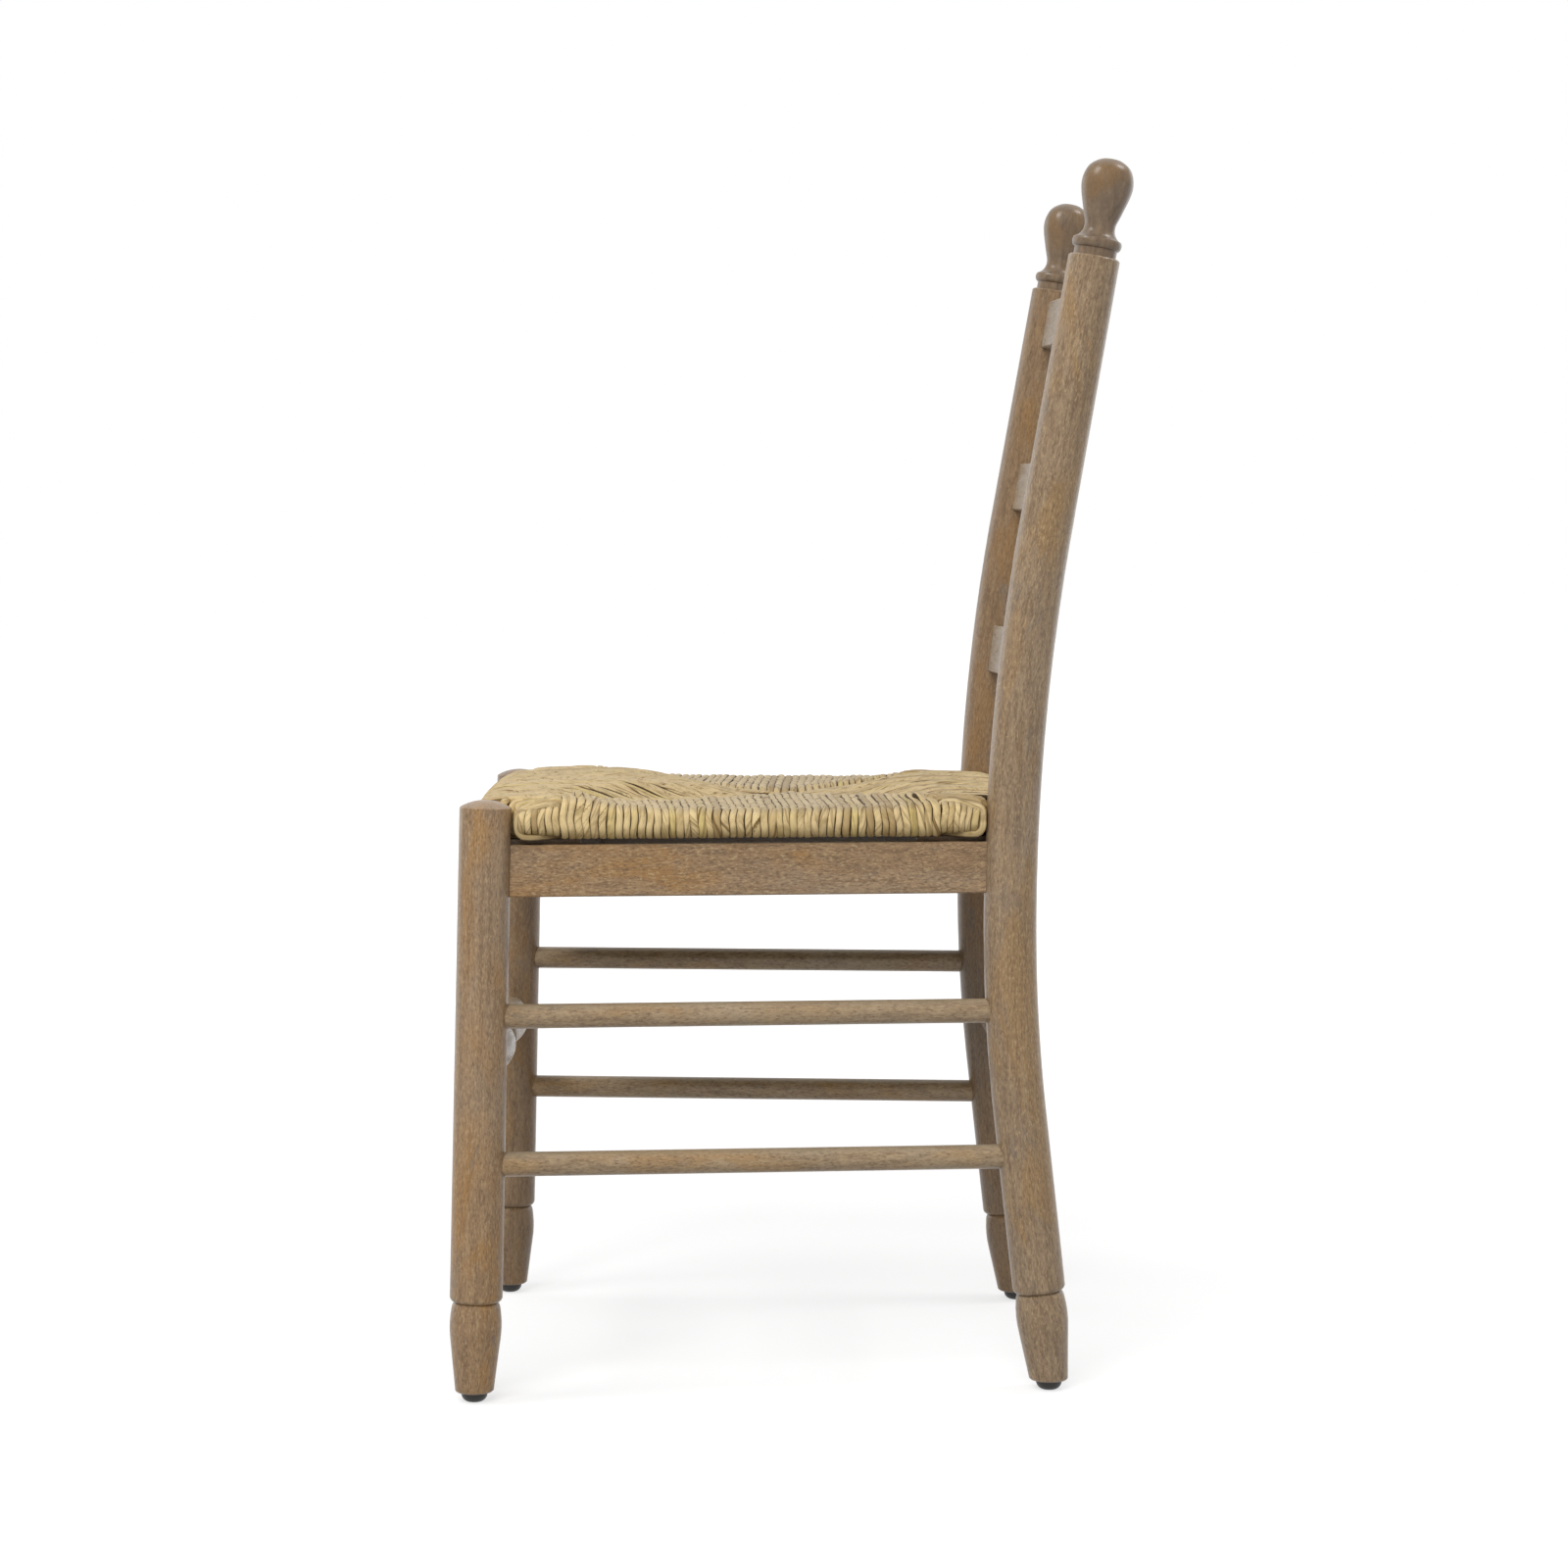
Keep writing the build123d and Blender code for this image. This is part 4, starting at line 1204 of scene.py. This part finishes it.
    def strand(self, points: Path, edge: Vector, inward: Vector, radius: float, drift: list[float],
               seam: float, dice: random.Random) -> Strand:
        """Lay a strand's path out in the chair.

        Args:
            points: Depths and heights.
            edge: Point of the seat's edge that depths start from.
            inward: Direction of the depths in plan.
            radius: Radius of the strand.
            drift: Sideways shift of each point.
            seam: How plainly the strand's flanks are darkened with painted shade, 1 for fully.
            dice: Source of the small unevenness.

        Returns:
            The strand.
        """
        waver = self.waver
        across = Vector((inward.y, -inward.x, 0.0))
        row = edge.dot(across) / waver.row
        turned = inward.x * waver.turns[0] + inward.y * waver.turns[1]
        mark = Vector([dice.uniform(0.0, waver.far) for axis in range(3)])
        path = []
        length = 0.0
        for at, (depth, height) in enumerate(points):
            if at:
                length += math.dist(points[at - 1], (depth, height))
            swing = waver.swing[0] - waver.swing[1] * eased(depth, *waver.calms)
            wave = noise.noise(Vector((row, (height + depth) / waver.rise, turned))) * swing
            wave += noise.noise(mark + Vector((length / waver.shake[0], 0.0, 0.0))) * waver.shake[1]
            lift = noise.noise(mark + Vector((0.0, length / waver.heave[0], 0.0))) * waver.heave[1]
            spot = edge + inward * depth + across * (drift[at] + wave)
            path.append(Vector((spot.x, spot.y, height + lift)) * MM)
        tight = dice.random() < waver.tight_share
        twist = dice.uniform(*(waver.tight if tight else waver.loose))
        return Strand(path, across, radius * MM, dice.random(), twist * dice.choice((-1.0, 1.0)),
                      dice.uniform(0.0, math.tau), dice.uniform(0.0, waver.wound), seam)

    def side_strands(self, side: Side) -> list[Strand]:
        """Strands of the left or right triangle.

        Args:
            side: Left or right.

        Returns:
            The strands, front to back.
        """
        lay = self.side_lay
        dice = self.dice(side)
        hand = 1.0 if side is Side.LEFT else -1.0
        start, end = lay.groups[1][:2]
        made = []
        for y, radius in self.rows(lay.groups, dice):
            notched = y < start or y > end
            outer = self.side_x(y)
            reach = lay.notch_reach if notched else outer - self.mitre_x(y)
            reach = max(reach + dice.uniform(-self.reach_jitter, self.reach_jitter), lay.roll + lay.end)
            lean = lay.right_lean
            if side is Side.LEFT:
                lean = lay.left_lean[0] - lay.left_lean[1] * eased(y, *lay.lean_grows)
            sweep = (lay.notch_lean if notched else lean) * eased(y, *lay.lean_starts)
            calm, rise = self.side_form(y, hand)
            fold = lay.fold_base + rise + (between(lay.folds, y) - lay.fold_base) * calm
            fold += dice.uniform(-lay.fold_jitter, lay.fold_jitter)
            tuck = self.tuck(y, hand) + dice.uniform(-lay.tuck_jitter, lay.tuck_jitter)
            span = reach - lay.end - lay.roll
            count = max(1, int(span / lay.step))
            top = []
            for at in range(count):
                share = eased((at + 1.0) / count, 0.0, 1.0)
                top.append((lay.roll + span * (at + 1.0) / count, fold + (tuck - fold) * share))
            if span < lay.short:
                top = [(lay.roll + 1.0, fold)]
            lift = lay.notch_lift if notched else lay.lift
            points = self.finer(self.profile(lay.roll, radius, fold, top, reach, lay.tip, lift))
            drift = [hand * sweep * eased(depth, lay.lean_from, reach) if height > lay.upper else 0.0
                     for depth, height in points]
            edge = Vector((hand * outer, y, 0.0))
            made.append(self.strand(points, edge, Vector((-hand, 0.0, 0.0)), radius, drift, 1.0, dice))
        return made

    def cross_strands(self, side: Side) -> list[Strand]:
        """Strands of the front or back triangle.

        Args:
            side: Front or back.

        Returns:
            The strands, right to left.
        """
        lay = self.front_lay if side is Side.FRONT else self.back_lay
        dice = self.dice(side)
        inner = lay.groups[1][1]
        made = []
        for x, radius in self.rows(lay.groups, dice):
            hand = 1.0 if x > 0.0 else -1.0
            notched = abs(x) > inner
            edge_y = self.notch_y(x, lay) if notched else lay.rail
            past = abs(edge_y - lay.rail)
            roll = lay.notch_roll if notched else lay.roll
            dive = self.mitre_y(x, lay)
            reach = abs(dive - edge_y) + dice.uniform(-self.reach_jitter, self.reach_jitter)
            reach = max(reach, roll + lay.least)
            uneven = noise.noise(Vector((x / lay.wave, self.seed, lay.ahead))) * lay.wave_rise
            uneven += dice.uniform(-lay.jitter, lay.jitter)
            drop = lay.sag * eased(abs(x), lay.sag_from, inner) - uneven
            tuck = self.tuck(dive, x) - lay.below
            notch_top = between(lay.notch_tops, abs(x))
            low = lay.slope * eased(abs(x), inner - lay.slope_span[0], inner + lay.slope_span[1])
            span = reach - lay.end - roll
            count = max(2, int(span / lay.step))
            top = []
            for at in range(count):
                depth = roll + span * (at + 1.0) / count
                if notched:
                    height = notch_top - low * (1.0 - eased(depth, *lay.slope_fades))
                else:
                    plain = between(lay.tops, past + depth) - drop
                    height = plain + (tuck - plain) * eased(depth, reach - lay.sinks[0], reach - lay.sinks[1])
                top.append((depth, height))
            fold = notch_top - low - lay.notch_drop if notched else between(lay.tops, past + roll) - drop
            points = self.finer(self.profile(roll, radius, fold, top, reach, lay.dive))
            turn = -lay.ahead * hand
            drift = []
            for depth, height in points:
                if height > lay.upper:
                    drift.append(turn * lay.close * eased(depth, reach - lay.close_from, reach))
                else:
                    drift.append(turn * lay.splay * eased(depth, *lay.splays) if notched else 0.0)
            edge = Vector((x, edge_y, 0.0))
            seam = self.crease(x, side, inner)
            made.append(self.strand(points, edge, Vector((0.0, lay.ahead, 0.0)), radius, drift, seam, dice))
        return made

    def weave(self, side: Side, finish: bpy.types.Material) -> bpy.types.Object:
        """Make one woven triangle of the seat.

        Args:
            side: Which triangle.
            finish: Material of the rush.

        Returns:
            The piece.
        """
        strands = self.cross_strands(side) if side in (Side.FRONT, Side.BACK) else self.side_strands(side)
        whole = bmesh.new()
        for strand in strands:
            mesh = strand.mesh()
            whole.from_mesh(mesh)
            bpy.data.meshes.remove(mesh)
        piece = piece_from(whole, "rush_" + side.value, finish)
        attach(piece, BODY)
        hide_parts("rush_seat")
        LOG.info("wove %s from %d strands, %d faces", piece.name, len(strands), len(piece.data.polygons))
        return piece

    def stuff(self, side: Side, finish: bpy.types.Material) -> bpy.types.Object:
        """Make one stuffing pad from the frame's own, with its edges softened.

        Args:
            side: Triangle that the pad lies under.
            finish: Material of the stuffing.

        Returns:
            The piece.
        """
        node = "stuffing_" + side.value
        bm = bmesh.new()
        bm.from_mesh(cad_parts[node].data)
        bmesh.ops.remove_doubles(bm, verts=bm.verts, dist=self.pad_weld)
        bmesh.ops.dissolve_limit(bm, angle_limit=self.pad_flat, verts=bm.verts, edges=bm.edges)
        bmesh.ops.triangulate(bm, faces=bm.faces)
        bmesh.ops.subdivide_edges(bm, edges=bm.edges, cuts=self.pad_cuts, use_grid_fill=True)
        for turn in range(self.pad_rounds):
            bmesh.ops.smooth_vert(bm, verts=bm.verts, factor=self.pad_ease,
                                  use_axis_x=True, use_axis_y=True, use_axis_z=True)
        bmesh.ops.recalc_face_normals(bm, faces=bm.faces)
        for face in bm.faces:
            face.smooth = True
        piece = piece_from(bm, node + "_pad", finish)
        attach(piece, BODY)
        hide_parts(node)
        LOG.info("stuffed %s, %d faces", piece.name, len(piece.data.polygons))
        return piece

    def build(self) -> None:
        """Make the four woven triangles and the pads under them."""
        rush = RushFinish().material()
        wadding = WaddingFinish().material()
        for side in Side:
            self.weave(side, rush)
            self.stuff(side, wadding)


@dataclass
class Studio:
    """Pale floor, soft light and the camera at the photograph's view."""

    eye: Triple = (3.0662, -0.0359, 0.6635)
    pitch: float = 0.0602
    yaw: float = 0.0106
    lens: float = 83.04
    sensor: float = 36.0
    clip_end: float = 200.0
    floor_size: float = 60.0
    floor_grey: float = 0.45
    ambient: float = 0.34
    near_glow: float = 0.66
    far_glow: float = 0.96
    glow_span: Pair = (1.0, 3.0)
    lamps: tuple[tuple[str, Triple, float, float, bool], ...] = (
        ("front_bank", (4.4, -1.2, 3.9), 3.2, 200.0, False),
        ("left_softbox", (0.75, -1.7, 3.2), 0.9, 25.0, True),
        ("right_softbox", (-0.25, 1.9, 3.2), 0.9, 23.0, True),
        ("left_edge_light", (-2.2, -2.5, 1.2), 2.0, 10.0, True),
        ("right_edge_light", (-2.2, 2.5, 1.2), 2.0, 10.0, True),
    )
    target: Triple = (0.0, 0.0, 0.5)

    def seen(self, tree: bpy.types.NodeTree) -> Socket:
        """Share of the rays that see the background plainly.

        Args:
            tree: Node tree to add to.

        Returns:
            1 for rays of the camera, reflections and clear glass, and 0 for the rest.
        """
        path = tree.nodes.new("ShaderNodeLightPath")
        value = path.outputs["Is Camera Ray"]
        for name in ("Is Glossy Ray", "Is Transmission Ray"):
            step = tree.nodes.new("ShaderNodeMath")
            step.operation = "MAXIMUM"
            tree.links.new(value, step.inputs[0])
            tree.links.new(path.outputs[name], step.inputs[1])
            value = step.outputs["Value"]
        return value

    def world(self) -> None:
        """White surroundings, dimmer as a light than as a background."""
        world = bpy.data.worlds.new("studio_white")
        world.use_nodes = True
        tree = world.node_tree
        shader = tree.nodes["Background"]
        shader.inputs["Color"].default_value = (1.0, 1.0, 1.0, 1.0)
        level = tree.nodes.new("ShaderNodeMapRange")
        level.inputs["To Min"].default_value = self.ambient
        level.inputs["To Max"].default_value = 1.0
        tree.links.new(self.seen(tree), level.inputs["Value"])
        tree.links.new(level.outputs["Result"], shader.inputs["Strength"])
        bpy.context.scene.world = world

    def floor(self) -> None:
        """White floor that keeps the chair's soft shadow and is clear from below."""
        bm = bmesh.new()
        bmesh.ops.create_grid(bm, x_segments=2, y_segments=2, size=self.floor_size / 2)
        material = bpy.data.materials.new("white_floor")
        material.use_nodes = True
        tree = material.node_tree
        tree.nodes.clear()
        output = tree.nodes.new("ShaderNodeOutputMaterial")
        matt = tree.nodes.new("ShaderNodeBsdfDiffuse")
        matt.inputs["Color"].default_value = (self.floor_grey, self.floor_grey, self.floor_grey, 1.0)
        glow = tree.nodes.new("ShaderNodeEmission")
        place = tree.nodes.new("ShaderNodeTexCoord").outputs["Object"]
        away = tree.nodes.new("ShaderNodeVectorMath")
        away.operation = "LENGTH"
        tree.links.new(place, away.inputs[0])
        spread = tree.nodes.new("ShaderNodeMapRange")
        spread.interpolation_type = "SMOOTHSTEP"
        ranges = {"From Min": self.glow_span[0], "From Max": self.glow_span[1],
                  "To Min": self.near_glow, "To Max": self.far_glow}
        for name, number in ranges.items():
            spread.inputs[name].default_value = number
        tree.links.new(away.outputs["Value"], spread.inputs["Value"])
        level = tree.nodes.new("ShaderNodeMath")
        level.operation = "MULTIPLY"
        tree.links.new(spread.outputs["Result"], level.inputs[1])
        tree.links.new(self.seen(tree), level.inputs[0])
        tree.links.new(level.outputs["Value"], glow.inputs["Strength"])
        both = tree.nodes.new("ShaderNodeAddShader")
        tree.links.new(matt.outputs["BSDF"], both.inputs[0])
        tree.links.new(glow.outputs["Emission"], both.inputs[1])
        sides = tree.nodes.new("ShaderNodeMixShader")
        tree.links.new(tree.nodes.new("ShaderNodeNewGeometry").outputs["Backfacing"], sides.inputs["Fac"])
        tree.links.new(both.outputs["Shader"], sides.inputs[1])
        tree.links.new(tree.nodes.new("ShaderNodeBsdfTransparent").outputs["BSDF"], sides.inputs[2])
        tree.links.new(sides.outputs["Shader"], output.inputs["Surface"])
        floor = piece_from(bm, "floor", material)

    def light(self) -> None:
        """Hang the softboxes, each turned to the chair."""
        for name, place, size, power, mirrored in self.lamps:
            lamp = bpy.data.lights.new(name, "AREA")
            lamp.shape = "SQUARE"
            lamp.size = size
            lamp.energy = power
            box = bpy.data.objects.new(name, lamp)
            box.location = place
            box.visible_glossy = mirrored
            box.rotation_mode = "QUATERNION"
            box.rotation_quaternion = (Vector(self.target) - Vector(place)).to_track_quat("-Z", "Y")
            bpy.context.scene.collection.objects.link(box)

    def camera(self) -> None:
        """Set the camera up at the photograph's view."""
        lens = bpy.data.cameras.new("camera")
        lens.sensor_width = self.sensor
        lens.lens = self.lens
        lens.clip_end = self.clip_end
        camera = bpy.data.objects.new("camera", lens)
        level = math.cos(self.pitch)
        way = Vector((-level * math.cos(self.yaw), level * math.sin(self.yaw), -math.sin(self.pitch)))
        camera.location = self.eye
        camera.rotation_mode = "QUATERNION"
        camera.rotation_quaternion = way.to_track_quat("-Z", "Y")
        bpy.context.scene.collection.objects.link(camera)
        bpy.context.scene.camera = camera

    def build(self) -> None:
        """Set up the whole studio."""
        bpy.context.scene.view_settings.view_transform = "Standard"
        self.world()
        self.floor()
        self.light()
        self.camera()
        LOG.info("studio set with %d softboxes", len(self.lamps))


def main() -> None:
    """Dress the chair, weave its seat and set the studio."""
    logging.basicConfig(level=logging.INFO, format="%(name)s: %(message)s")
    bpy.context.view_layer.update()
    Studio().build()
    Timbers().dress()
    RushSeat().build()


if __name__ == "__main__":
    main()
